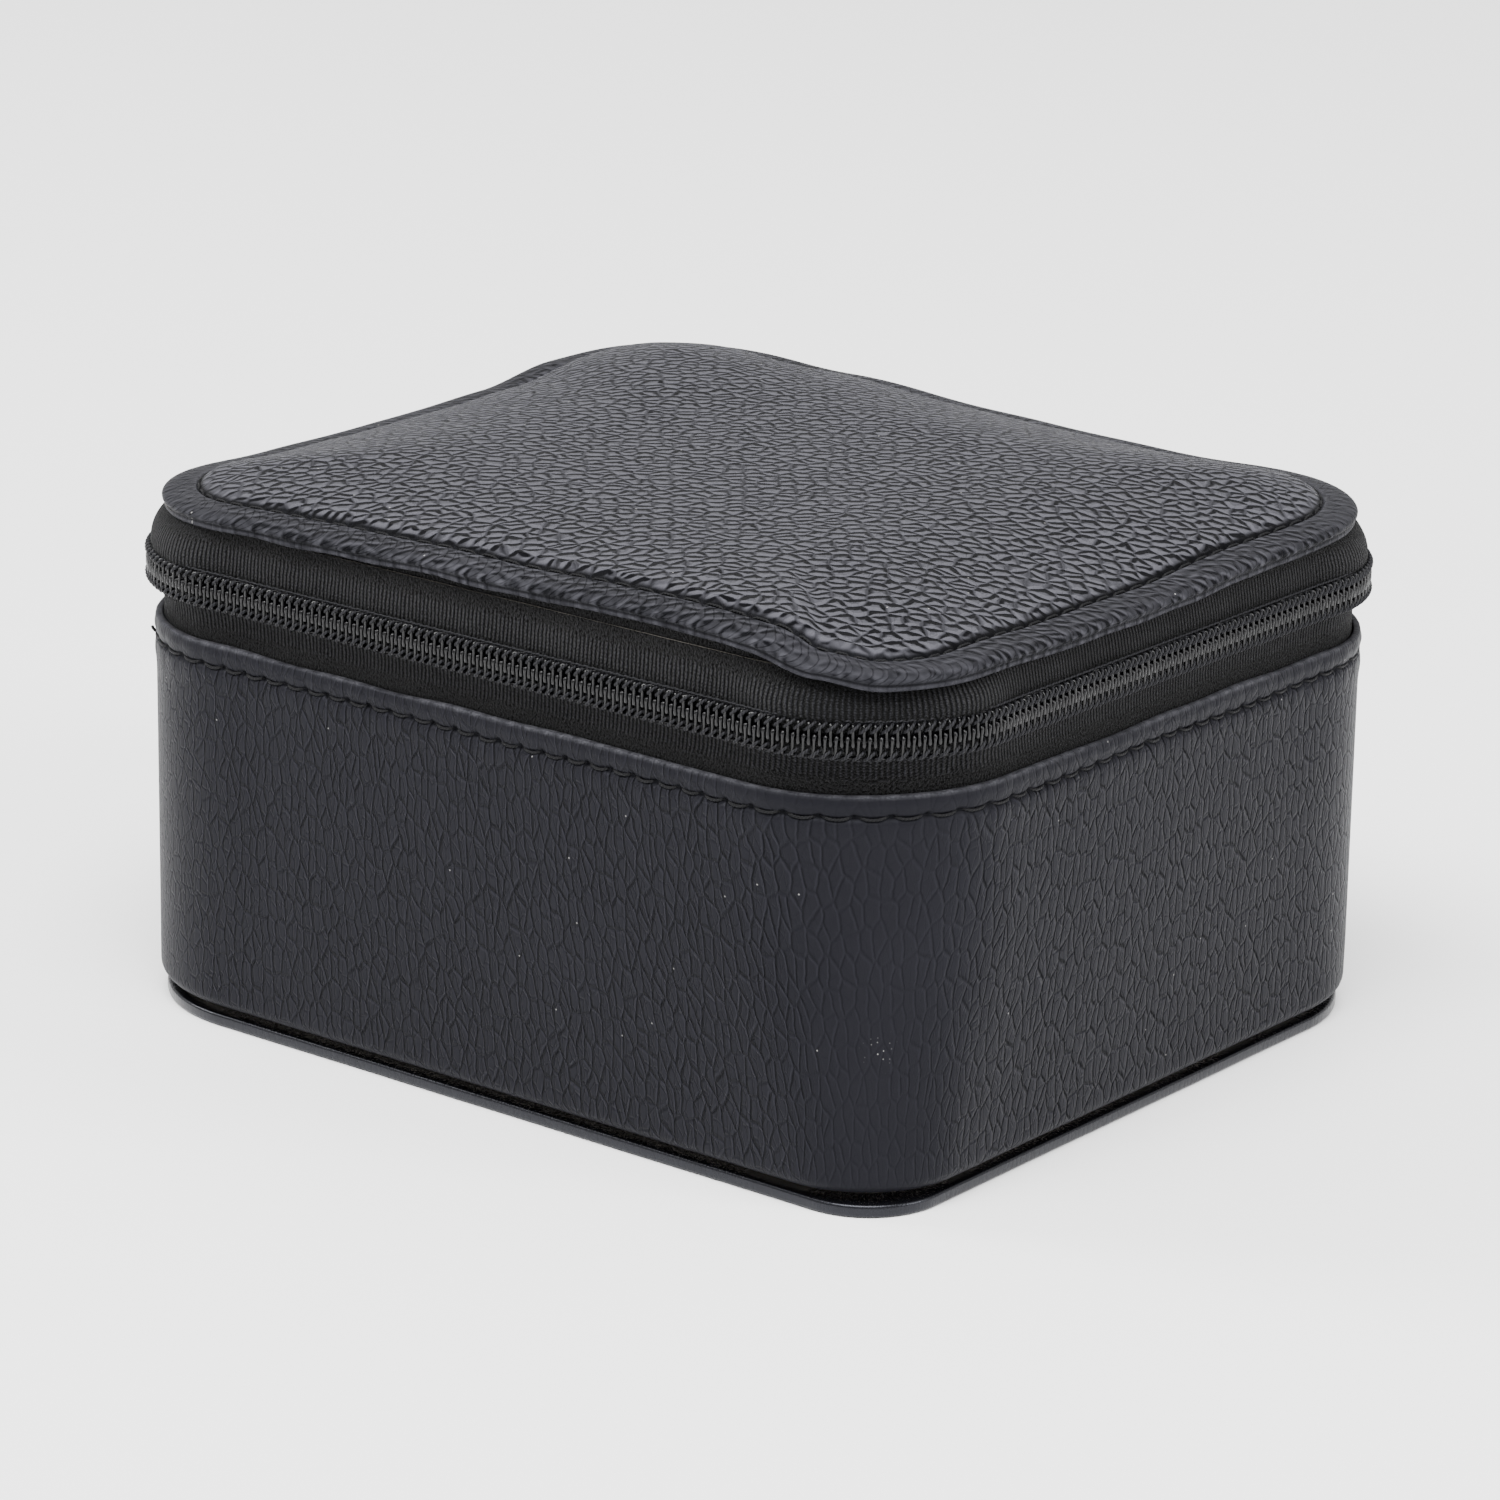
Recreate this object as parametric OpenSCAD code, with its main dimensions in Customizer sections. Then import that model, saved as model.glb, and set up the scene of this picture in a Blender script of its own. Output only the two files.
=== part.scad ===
// Leather jewellery case: padded card box in pebble-grained leather, zip-round lid on a leather hinge.
// Millimetres. Underside of the base plate on z = 0, centred in X and Y, hinge at the back (+Y),
// zip sliders in the middle of the left side (-X). Offsets are measured outwards from the wall leather.

/* [Body] */
// Outside length of the leather walls
body_w = 160; // [120:1:200]
// Outside depth of the leather walls
body_d = 140; // [110:1:180]
// Corner radius of the leather walls, seen from above
corner_r = 26; // [16:1:32]
// Height of the leather on the walls
wall_h = 60; // [40:1:80]
// Thickness of the outer leather
leather_t = 1.2; // [0.8:0.1:2]
// Thickness of the padding under the wall leather, and of the zip tape in the same layer
padding_t = 0.6; // [0.4:0.1:1]
// Thickness of the wall card
board_t = 2.5; // [1.5:0.1:4]
// Thickness of the velvet-covered lining card
lining_t = 2; // [1:0.1:3]
// How far the leather reaches under the wall card, as a turned-in thickness
turn_t = 0.5; // [0.3:0.1:1]

/* [Base] */
// Thickness of the wrapped base plate
base_t = 2; // [1.5:0.1:4]
// How far the base plate stands in from the wall
base_inset = 1; // [0.5:0.1:3]
// Corner radius of the base plate at its front right corner
base_r = 14; // [8:1:24]
// Corner radius of the base plate at its other three corners
base_side_r = 27; // [14:1:32]
// Thickness of the thin wrap round the base plate
wrap_t = 0.4; // [0.2:0.05:0.8]
// Width of the wrap turned over the top of the base plate
wrap_turn = 12; // [6:1:20]
// Open groove between the base plate and the wall
groove_h = 1.2; // [0.6:0.1:2.5]
// Thickness of the floor card
floor_t = 3; // [2:0.1:5]
// Thickness of the floor pad
pad_t = 2.5; // [1:0.1:5]

/* [Zip] */
// Width of the closed chain
zip_w = 6; // [4:0.1:8]
// How far the coil stands out past the wall leather
coil_rise = 1; // [0.5:0.1:1.8]
// Tape showing between the wall leather and the chain
tape_below = 5.6; // [4:0.1:9]
// Tape showing between the chain and the lid's rim
tape_above = 6.4; // [5.6:0.1:9]
// Hidden depth of tape behind the leather
tape_tuck = 7; // [4:0.1:10]
// Half the gap between the two tapes at the middle of the chain
tape_gap = 1.6; // [1.5:0.05:2]
// Length of a zip slider
slider_l = 12; // [10:0.1:14]
// Plate thickness of a slider
slider_t = 0.8; // [0.6:0.05:1]
// Running clearance between a slider and the zip
slider_c = 0.2; // [0.1:0.05:0.4]
// Thickness of the slider's edge flanges
flange_t = 1; // [0.7:0.05:1.3]
// Length of a pull tab from its hinge bar to its end
pull_l = 28; // [20:1:34]
// Width of a pull tab
pull_w = 7.6; // [6.6:0.1:10]
// Radius of the pull's hinge bar, and half the thickness of the pull
pull_r = 0.6; // [0.45:0.05:0.7]

/* [Lid] */
// Height of the lid's rim
rim_h = 3.4; // [2.8:0.1:6]
// Height of the padded crown above the rim
crown_h = 4; // [3:0.1:6]
// Radius of the crown's rolled shoulder
shoulder_r = 3.4; // [2.5:0.1:4]
// Distance from the lid's edge to the foot of the crown
crown_in = 7.5; // [6.5:0.1:12]
// Thickness of the lid card
lid_board_t = 2; // [1.5:0.1:3]
// Thickness of the card frame inside the lid's rim
frame_t = 2; // [1.5:0.1:3]
// Thickness of the lid lining
lid_lining_t = 1.4; // [1:0.1:2]
// Space from the case edge to the mirror frame
mirror_in = 19; // [14:1:30]
// Width of the mirror frame
mirror_frame_w = 6; // [4:0.5:9]
// Thickness of the mirror
mirror_t = 1.8; // [1:0.1:3]
// Half the length of the leather hinge
hinge_half = 42; // [28:1:48]

/* [Inside] */
// Thickness of the dividers
divider_t = 2; // [1.5:0.1:4]
// Height of the dividers above the floor pad
divider_h = 50; // [30:1:56]
// Distance of the cross dividers from the middle
divider_x = 24; // [16:1:32]
// Position of the long divider from front to back
divider_y = 4; // [-6:1:10]
// Height of the block under the ring rolls
block_h = 36; // [20:1:40]
// Gap between ring rolls
roll_gap = 1.2; // [0.6:0.1:2]
// How far a ring roll is flattened where it sits on the block
roll_flat = 1; // [0.5:0.1:1.5]
// Height of the lining's lip above the leather edge of the wall
lip_h = 10.8; // [6:0.1:12]

/* [Stitching] */
// Drop from the top of the wall leather to its stitching
stitch_drop = 3.2; // [2:0.1:5]
// Distance of the lid stitching from the lid's edge
lid_stitch_in = 6.3; // [4:0.1:7]
// Width of the thread line
thread_w = 0.5; // [0.3:0.05:0.8]
// Height of the thread above the leather
thread_h = 0.2; // [0.1:0.05:0.4]

/* [Hidden] */
$fn = 96;

// layers, as offsets from the outside of the wall leather
o_skin = -leather_t;
o_pad = o_skin - padding_t;
o_board = o_pad - board_t;
o_in = o_board - lining_t;
o_frame = o_pad - frame_t;

// levels
wall_z0 = base_t + groove_h;
wall_z1 = wall_z0 + wall_h;
zip_z = wall_z1 + tape_below + zip_w / 2;
rim_z0 = zip_z + zip_w / 2 + tape_above;
rim_z1 = rim_z0 + rim_h;
lid_top = rim_z1 + crown_h;
board_z1 = rim_z1 - leather_t;
board_z0 = board_z1 - lid_board_t;
floor_z = base_t + floor_t;
pad_z = floor_z + pad_t;
lip_z = wall_z1 + lip_h;
card_z1 = wall_z1 - 0.7;
tape_z0 = wall_z1 - tape_tuck;
block_z = pad_z + block_h;

// zip and sliders
slider_h = zip_w / 2 + slider_c + flange_t;
frame_z0 = zip_z + slider_h + 1.2;
coil_c = 0.05;
o_plate = coil_rise + slider_c;
o_top = o_plate + slider_t;
o_back = o_pad - slider_c;
nose = 0.6;
bar_t = nose + slider_l / 2;
bar_o = o_top + 0.25 + pull_r;
bridge_w = 1.8;
wedge_h = tape_gap - 0.3;
hinge_gap = 0.5;
chain_end = hinge_half + 3;

// ring rolls
cav_y = body_d / 2 + o_in;
rear_y = divider_y + divider_t / 2;
roll_r = (cav_y - rear_y - 5 * roll_gap) / 8;
roll_z = block_z + roll_r - roll_flat;

// rounded rectangle, grown outwards by o
module outline(o, r = corner_r) {
  c = r + o;
  square([body_w + 2 * o - 2 * c, body_d + 2 * o], center = true);
  square([body_w + 2 * o, body_d + 2 * o - 2 * c], center = true);
  for (sx = [-1, 1], sy = [-1, 1])
    translate([sx * (body_w / 2 + o - c), sy * (body_d / 2 + o - c)]) circle(r = c);
}
module slab(o, z0, z1, r = corner_r) {
  translate([0, 0, z0]) linear_extrude(z1 - z0) outline(o, r);
}
module ring(o1, o2, z0, z1, r = corner_r) {
  difference() {
    slab(o1, z0, z1, r);
    slab(o2, z0 - 1, z1 + 1, r);
  }
}
// space in the middle of the back wall
module back_gap(half, z0, z1) {
  translate([-half, body_d / 2 - corner_r, z0]) cube([2 * half, corner_r + 10, z1 - z0]);
}
// places a shape drawn as (t along the zip from the middle, z from the chain) on the left side,
// from offset o1 out to o2; s is -1 for the front slider and 1 for the rear one
module on_left(s, o1, o2) {
  translate([-body_w / 2 - o2, 0, zip_z])
    mirror([0, s < 0 ? 1 : 0, 0]) rotate([90, 0, 90]) linear_extrude(o2 - o1) children();
}

// case
module plate(o, z0, z1) {
  w = body_w / 2 + o;
  d = body_d / 2 + o;
  n = base_r + o;
  c = base_side_r + o;
  translate([0, 0, z0]) linear_extrude(z1 - z0) {
    polygon([[w - n, -d], [w, n - d], [w, d - c], [w - c, d], [c - w, d], [-w, d - c], [-w, c - d],
      [c - w, -d]]);
    translate([w - n, n - d]) circle(r = n);
    translate([w - c, d - c]) circle(r = c);
    translate([c - w, d - c]) circle(r = c);
    translate([c - w, c - d]) circle(r = c);
  }
}
module base_board() {
  color("#8a8378") plate(-base_inset - wrap_t, wrap_t, base_t - wrap_t);
}
module base_cover() {
  color("#232325") difference() {
    plate(-base_inset, 0, base_t);
    plate(-base_inset - wrap_t, wrap_t, base_t - wrap_t);
    plate(-base_inset - wrap_turn, base_t - wrap_t - 0.1, base_t + 1);
  }
}
module floor_board() {
  color("#8a8378") slab(o_board, base_t, floor_z);
}
module wall_board() {
  color("#8a8378") ring(o_pad, o_board, wall_z0 + turn_t, card_z1);
}
module wall_padding() {
  color("#4a4a4c") ring(o_skin, o_pad, wall_z0 + turn_t, tape_z0 - 0.5);
}
module wall_leather() {
  color("#2b2b2d") difference() {
    slab(0, wall_z0, wall_z1);
    slab(o_skin, wall_z0 + turn_t, wall_z1 + 1);
    slab(o_board, wall_z0 - 1, wall_z1 + 1);
  }
}
module wall_stitching() {
  z = wall_z1 - stitch_drop;
  color("#19191a") ring(thread_h, 0, z - thread_w / 2, z + thread_w / 2);
}
module wall_lining() {
  color("#3c3a3a") ring(o_board, o_in, floor_z, lip_z);
}
module floor_pad() {
  color("#3c3a3a") slab(o_in, floor_z, pad_z);
}
module divider_long() {
  color("#3c3a3a") translate([-body_w / 2 - o_in, divider_y - divider_t / 2, pad_z])
    cube([body_w + 2 * o_in, divider_t, divider_h]);
}
module divider_across(s) {
  y0 = -body_d / 2 - o_in;
  translate([s * divider_x - divider_t / 2, y0, pad_z])
    cube([divider_t, divider_y - divider_t / 2 - y0, divider_h]);
}
module divider_left() { color("#3c3a3a") divider_across(-1); }
module divider_right() { color("#3c3a3a") divider_across(1); }
module ring_block() {
  color("#3c3a3a") intersection() {
    slab(o_in, pad_z, block_z);
    translate([-body_w, rear_y, 0]) cube([2 * body_w, body_d, block_z + 1]);
  }
}
module ring_roll(i) {
  y = rear_y + roll_gap + roll_r + (i - 1) * (2 * roll_r + roll_gap);
  intersection() {
    translate([-body_w / 2, y, roll_z]) rotate([0, 90, 0]) cylinder(r = roll_r, h = body_w);
    slab(o_in - 0.5, block_z, block_z + 3 * roll_r);
  }
}
module ring_roll_1() { color("#444141") ring_roll(1); }
module ring_roll_2() { color("#444141") ring_roll(2); }
module ring_roll_3() { color("#444141") ring_roll(3); }
module ring_roll_4() { color("#444141") ring_roll(4); }

// zip halves: fabric tape behind the leather, coil standing on its outer face
module tape(z0, z1) {
  color("#1d1d1e") difference() {
    ring(o_skin, o_pad, z0, z1);
    back_gap(hinge_half + hinge_gap, z0 - 1, z1 + 1);
  }
}
module wedge_room() {
  for (s = [-1, 1]) on_left(s, o_skin - 1, coil_rise + 1)
    translate([0, -wedge_h - 0.3]) square([nose + 6.2, 2 * wedge_h + 0.6]);
}
module coil(z0, z1) {
  color("#161617") difference() {
    ring(coil_rise, o_skin, z0, z1);
    back_gap(chain_end, z0 - 1, z1 + 1);
    wedge_room();
  }
}
module stop(s, z0, z1) {
  x = s * (chain_end - 1.1);
  color("#505053") translate([x - 1.1, body_d / 2 + o_skin, z0]) cube([2.2, leather_t + coil_rise, z1 - z0]);
}
module lower_tape() { tape(tape_z0, zip_z - tape_gap); }
module upper_tape() { tape(zip_z + tape_gap, board_z1); }
module lower_coil() { coil(zip_z - zip_w / 2, zip_z - coil_c); }
module upper_coil() { coil(zip_z + coil_c, zip_z + zip_w / 2); }
module lower_stop_left() { stop(-1, zip_z - zip_w / 2, zip_z - 3 * coil_c); }
module lower_stop_right() { stop(1, zip_z - zip_w / 2, zip_z - 3 * coil_c); }
module upper_stop_left() { stop(-1, zip_z + 3 * coil_c, zip_z + zip_w / 2); }
module upper_stop_right() { stop(1, zip_z + 3 * coil_c, zip_z + zip_w / 2); }
module hinge_strip() {
  color("#2b2b2d") translate([-hinge_half, body_d / 2 + o_pad, tape_z0])
    cube([2 * hinge_half, padding_t, board_z1 - tape_z0]);
}

// lid
module crown(o, z0, z1, r) {
  c = corner_r + o - r;
  x = body_w / 2 + o - r;
  y = body_d / 2 + o - r;
  intersection() {
    slab(o + 1, z0, z1 + 1);
    union() {
      slab(o, z0, z1 - r);
      slab(o - r, z0, z1);
      for (m = [-1, 1]) {
        translate([0, m * y, z1 - r]) rotate([0, 90, 0]) cylinder(r = r, h = 2 * (x - c), center = true);
        translate([m * x, 0, z1 - r]) rotate([90, 0, 0]) cylinder(r = r, h = 2 * (y - c), center = true);
      }
      for (a = [0 : 3])
        translate([(a == 0 || a == 3 ? 1 : -1) * (x - c), (a < 2 ? 1 : -1) * (y - c), z1 - r])
          rotate([0, 0, a * 90]) rotate_extrude(angle = 90) translate([c, 0]) circle(r = r);
    }
  }
}
module lid_board() {
  color("#8a8378") slab(o_pad, board_z0, board_z1);
}
module lid_frame() {
  color("#8a8378") ring(o_pad, o_frame, frame_z0, board_z0);
}
module lid_foam() {
  color("#c9c4b4") crown(-crown_in - leather_t, board_z1, lid_top - leather_t, shoulder_r - leather_t);
}
module lid_leather() {
  color("#37373a") difference() {
    union() {
      slab(0, rim_z0, rim_z1);
      crown(-crown_in, rim_z0, lid_top, shoulder_r);
    }
    slab(o_skin, rim_z0 - 1, board_z1);
    crown(-crown_in - leather_t, rim_z0, lid_top - leather_t, shoulder_r - leather_t);
  }
}
module lid_stitching() {
  o = -lid_stitch_in;
  color("#19191a") ring(o + thread_w / 2, o - thread_w / 2, rim_z1, rim_z1 + thread_h);
}
module lid_lining() {
  color("#3c3a3a") slab(o_frame, board_z0 - lid_lining_t, board_z0);
}
module mirror_plate(g, z0, z1) {
  w = body_w - 2 * (mirror_in + g);
  d = body_d - 2 * (mirror_in + g);
  translate([-w / 2, -d / 2, z0]) cube([w, d, z1 - z0]);
}
module mirror_glass() {
  color("#b9c3c8") mirror_plate(mirror_frame_w, board_z0 - lid_lining_t - mirror_t, board_z0 - lid_lining_t);
}
module mirror_frame() {
  z1 = board_z0 - lid_lining_t;
  color("#3c3a3a") difference() {
    mirror_plate(0, z1 - mirror_t, z1);
    mirror_plate(mirror_frame_w, z1 - mirror_t - 1, z1 + 1);
  }
}

// sliders: two plates joined by a wedge that parts the coils, flanges that close them
module slider(s) {
  h = slider_h;
  color("#8f9194") union() {
    for (o = [o_back - slider_t, o_plate])
      on_left(s, o, o + slider_t) polygon([[nose, -h + 0.6], [nose + 0.8, -h], [nose + 5.5, -h],
        [nose + slider_l - 1, -h + 0.4], [nose + slider_l, -h + 1.6], [nose + slider_l, h - 1.6],
        [nose + slider_l - 1, h - 0.4], [nose + 5.5, h], [nose + 0.8, h], [nose, h - 0.6]]);
    for (m = [-1, 1])
      on_left(s, o_skin + slider_c, o_plate)
        translate([nose + 1, m > 0 ? h - flange_t : -h]) square([4.5, flange_t]);
    on_left(s, o_back, o_plate) polygon([[nose, -wedge_h + 0.5], [nose + 1.4, -wedge_h],
      [nose + 5.4, -0.3], [nose + 5.4, 0.3], [nose + 1.4, wedge_h], [nose, wedge_h - 0.5]]);
  }
}
module slider_bridge(s) {
  color("#8f9194") difference() {
    on_left(s, o_top, bar_o + pull_r + 1.2)
      translate([bar_t - 3.6, -bridge_w / 2]) square([7.2, bridge_w]);
    on_left(s, o_top - 1, bar_o + pull_r + 0.25)
      translate([bar_t - 2.4, -bridge_w]) square([4.8, 2 * bridge_w]);
  }
}
module pull(s) {
  g = bridge_w / 2 + 0.5;
  y = s * bar_t;
  color("#9a9c9f") union() {
    translate([-body_w / 2 - bar_o, y, zip_z - pull_w / 2]) cylinder(r = pull_r, h = pull_w);
    for (m = [-1, 1])
      on_left(s, bar_o - pull_r, bar_o + pull_r)
        translate([bar_t, m > 0 ? g : -pull_w / 2]) square([7, pull_w / 2 - g]);
    on_left(s, bar_o - pull_r, bar_o + pull_r) difference() {
      union() {
        translate([bar_t + 6, -pull_w / 2]) square([pull_l - 6 - pull_w / 2, pull_w]);
        translate([bar_t + pull_l - pull_w / 2, 0]) circle(d = pull_w);
      }
      translate([bar_t + pull_l - pull_w / 2, 0]) circle(d = 2.4);
    }
  }
}
module slider_front() { slider(-1); }
module slider_front_bridge() { slider_bridge(-1); }
module pull_front() { pull(-1); }
module slider_rear() { slider(1); }
module slider_rear_bridge() { slider_bridge(1); }
module pull_rear() { pull(1); }

base_board();
base_cover();
floor_board();
wall_board();
wall_padding();
wall_leather();
wall_stitching();
wall_lining();
floor_pad();
divider_long();
divider_left();
divider_right();
ring_block();
ring_roll_1();
ring_roll_2();
ring_roll_3();
ring_roll_4();
lower_tape();
lower_coil();
lower_stop_left();
lower_stop_right();
hinge_strip();
lid_board();
lid_frame();
lid_foam();
lid_leather();
lid_stitching();
lid_lining();
mirror_glass();  // mirror
mirror_frame();
upper_tape();
upper_coil();
upper_stop_left();
upper_stop_right();
slider_front();
slider_front_bridge();
pull_front();
slider_rear();
slider_rear_bridge();
pull_rear();
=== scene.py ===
import math

import bmesh
import bpy
import numpy as np
from mathutils import Matrix, Vector


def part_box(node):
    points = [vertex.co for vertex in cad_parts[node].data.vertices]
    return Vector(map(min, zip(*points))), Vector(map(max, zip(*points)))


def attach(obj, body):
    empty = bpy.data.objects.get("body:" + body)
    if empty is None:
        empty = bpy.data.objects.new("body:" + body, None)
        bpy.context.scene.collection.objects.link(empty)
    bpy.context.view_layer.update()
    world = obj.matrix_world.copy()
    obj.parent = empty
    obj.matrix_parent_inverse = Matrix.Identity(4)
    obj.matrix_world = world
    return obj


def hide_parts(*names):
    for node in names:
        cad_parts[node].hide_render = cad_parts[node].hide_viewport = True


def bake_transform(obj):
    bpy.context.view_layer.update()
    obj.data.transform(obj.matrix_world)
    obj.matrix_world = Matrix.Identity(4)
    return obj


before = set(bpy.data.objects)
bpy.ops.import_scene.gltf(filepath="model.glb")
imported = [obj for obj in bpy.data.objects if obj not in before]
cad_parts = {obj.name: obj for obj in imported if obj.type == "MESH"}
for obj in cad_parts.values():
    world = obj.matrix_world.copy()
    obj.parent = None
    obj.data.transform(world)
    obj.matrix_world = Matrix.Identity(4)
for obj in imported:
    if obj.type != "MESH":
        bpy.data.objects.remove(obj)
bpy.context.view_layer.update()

MM = 0.001
TAU = 2 * math.pi
TINY = 1e-12


# ---- sizes, in mm, read from the CAD
def span(node, axis):
    lo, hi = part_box(node)
    return lo[axis] / MM, hi[axis] / MM


W = 2 * span("wall_leather", 0)[1]
D = 2 * span("wall_leather", 1)[1]
WALL_Z0, WALL_Z1 = span("wall_leather", 2)
LOW_TAPE_Z1 = span("lower_tape", 2)[1]
UP_TAPE_Z0, BOARD_Z1 = span("upper_tape", 2)
ZIP_Z = (span("lower_coil", 2)[0] + span("upper_coil", 2)[1]) / 2
RIM_Z0, LID_TOP = span("lid_leather", 2)
STITCH_Z = sum(span("wall_stitching", 2)) / 2
HINGE_HALF = span("hinge_strip", 0)[1]
CHAIN_END = span("lower_stop_right", 0)[1]
PAD_Z = span("floor_pad", 2)[1]
LIP_Z = span("wall_lining", 2)[1]
IN_X, IN_Y = span("floor_pad", 0)[1], span("floor_pad", 1)[1]
BASE_T = span("base_cover", 2)[1]
PITCH = 1.55            # between the coil's turns
STITCH_LENGTH = 4.6     # on the wall
LID_STITCH_LENGTH = 4.4
COLUMN = 0.55           # between the columns of points in the finest skins


# ---- small formulas
def unit(x):
    """x kept between 0 and 1."""
    return min(max(x, 0), 1)


def bell(x, width):
    """1 at x = 0, falling away smoothly over width."""
    return np.exp(-((x / width) ** 2))


# ---- the rounded outline
class Track:
    """Rounded rectangle, o mm outside the wall's outline, starting at the middle of the back and
    running anticlockwise as seen from above. r is one radius, or (radius, front right radius)."""

    def __init__(self, o, r):
        r, near = r if isinstance(r, tuple) else (r, r)
        self.w, self.d = W / 2 + o, D / 2 + o
        self.c, self.n = max(r + o, 0.4), max(near + o, 0.4)
        a, b = self.w - self.c, self.d - self.c
        q, qn = self.c * math.pi / 2, self.n * math.pi / 2
        self.seg = np.array([a, q, 2 * b, q, a + self.w - self.n, qn, b + self.d - self.n, q, a])
        self.cum = np.concatenate([[0], np.cumsum(self.seg)])
        self.total = self.cum[-1]

    def split(self, s):
        s = np.mod(np.asarray(s, float), self.total)
        k = np.clip(np.searchsorted(self.cum, s, side="right") - 1, 0, 8)
        return k, (s - self.cum[k]) / self.seg[k]

    def place(self, k, f):
        """Points and outward directions at fraction f of segment k; the odd segments are corners."""
        w, d, c, n = self.w, self.d, self.c, self.n
        a, b = w - c, d - c
        px = np.array([0, -a, -w, -a, -a, w - n, w, a, a])
        py = np.array([d, b, b, -b, -d, n - d, n - d, b, d])
        dx = np.array([-a, 0, 0, 0, a + w - n, 0, 0, 0, -a])
        dy = np.array([0, 0, -2 * b, 0, 0, 0, b + d - n, 0, 0])
        nx = np.array([0, 0, -1, 0, 0, 0, 1, 0, 0])
        ny = np.array([1, 0, 0, 0, -1, 0, 0, 0, 1])
        start = np.array([0, 90, 0, 180, 0, 270, 0, 0, 0])
        rad = np.array([c, c, c, c, c, n, c, c, c])[k]
        corner = (k % 2) == 1
        ang = np.radians(start[k] + 90 * f)
        x = np.where(corner, px[k] + rad * np.cos(ang), px[k] + dx[k] * f)
        y = np.where(corner, py[k] + rad * np.sin(ang), py[k] + dy[k] * f)
        out = np.where(corner, np.cos(ang), nx[k]), np.where(corner, np.sin(ang), ny[k])
        return np.stack([x, y], -1), np.stack(out, -1)

    def at(self, s):
        return self.place(*self.split(s))


NOMINAL = Track(0, 24)
ROUND = NOMINAL.total


def middle(k):
    """Where the middle of segment k lies along the outline."""
    return (NOMINAL.cum[k] + NOMINAL.cum[k + 1]) / 2


def corner_mask(s, soft=10.0):
    """1 in the four rounded corners, 0 on the straight walls."""
    out = np.zeros_like(s)
    for k in (1, 3, 5, 7):
        reach = (NOMINAL.seg[k] + soft) / 2
        out = np.maximum(out, np.clip((reach - np.abs(s - middle(k))) / soft, 0, 1))
    return out * out * (3 - 2 * out)


def bump_at(s, where, width):
    """A bell at one place along the closed outline."""
    gap = np.abs(np.mod(s - where + ROUND / 2, ROUND) - ROUND / 2)
    return bell(gap, width)


NEAR = middle(5)


def waves(seed, s, z, amount, reach=(2, 14), n=9, zscale=0.05):
    """Smooth, seeded unevenness that closes on itself round the outline."""
    r = np.random.default_rng(seed)
    out = 0
    for _ in range(n):
        k = r.integers(*reach)
        height = r.normal()
        lean = r.uniform(-1, 1) * z * zscale
        out = out + height * np.sin(TAU * k * s / ROUND + lean + r.uniform(0, TAU))
    return amount * out / math.sqrt(n)


# ---- mesh helpers
UV_MM = 100     # mm for one unit of UV


def make(name, verts, faces, material, uvs=None, extra=None):
    """A smooth mesh from points and UVs in mm; extra holds one float attribute per point."""
    me = bpy.data.meshes.new(name)
    me.from_pydata((np.asarray(verts, float) * MM).tolist(), [],
                   faces if isinstance(faces, list) else np.asarray(faces).tolist())
    if uvs is not None:
        layer = me.uv_layers.new(name="UVMap")
        layer.data.foreach_set("uv", (np.asarray(uvs, float) / UV_MM).ravel().astype(np.float32))
    for key, values in (extra or {}).items():
        at = me.attributes.new(key, "FLOAT", "POINT")
        at.data.foreach_set("value", np.asarray(values, np.float32).ravel())
    me.polygons.foreach_set("use_smooth", [True] * len(me.polygons))
    me.validate()
    ob = bpy.data.objects.new(name, me)
    bpy.context.scene.collection.objects.link(ob)
    me.materials.append(material)
    return ob


def grid(p, closed_u=False, flip=False):
    """Faces of a rows x columns grid; u runs along the columns."""
    rows, cols = p.shape[:2]
    idx = np.arange(rows * cols).reshape(rows, cols)
    nxt = np.roll(idx, -1, axis=1) if closed_u else idx[:, 1:]
    cur = idx if closed_u else idx[:, :-1]
    f = np.stack([cur[:-1], nxt[:-1], nxt[1:], cur[1:]], -1).reshape(-1, 4)
    return f[:, ::-1] if flip else f


def grid_uv(u, v, closed_u, period, flip=False):
    """UVs for grid's faces; a closed grid's last column runs on to its first plus period."""
    rows, cols = u.shape
    un = np.concatenate([u[:, 1:], u[:, :1] + period], 1) if closed_u else u[:, 1:]
    vn = np.concatenate([v[:, 1:], v[:, :1]], 1) if closed_u else v[:, 1:]
    uc, vc = (u, v) if closed_u else (u[:, :-1], v[:, :-1])
    q = np.stack([np.stack([uc[:-1], vc[:-1]], -1), np.stack([un[:-1], vn[:-1]], -1),
                  np.stack([un[1:], vn[1:]], -1), np.stack([uc[1:], vc[1:]], -1)], 2)
    q = q.reshape(-1, 4, 2)
    return (q[:, ::-1] if flip else q).reshape(-1, 2)


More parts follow.
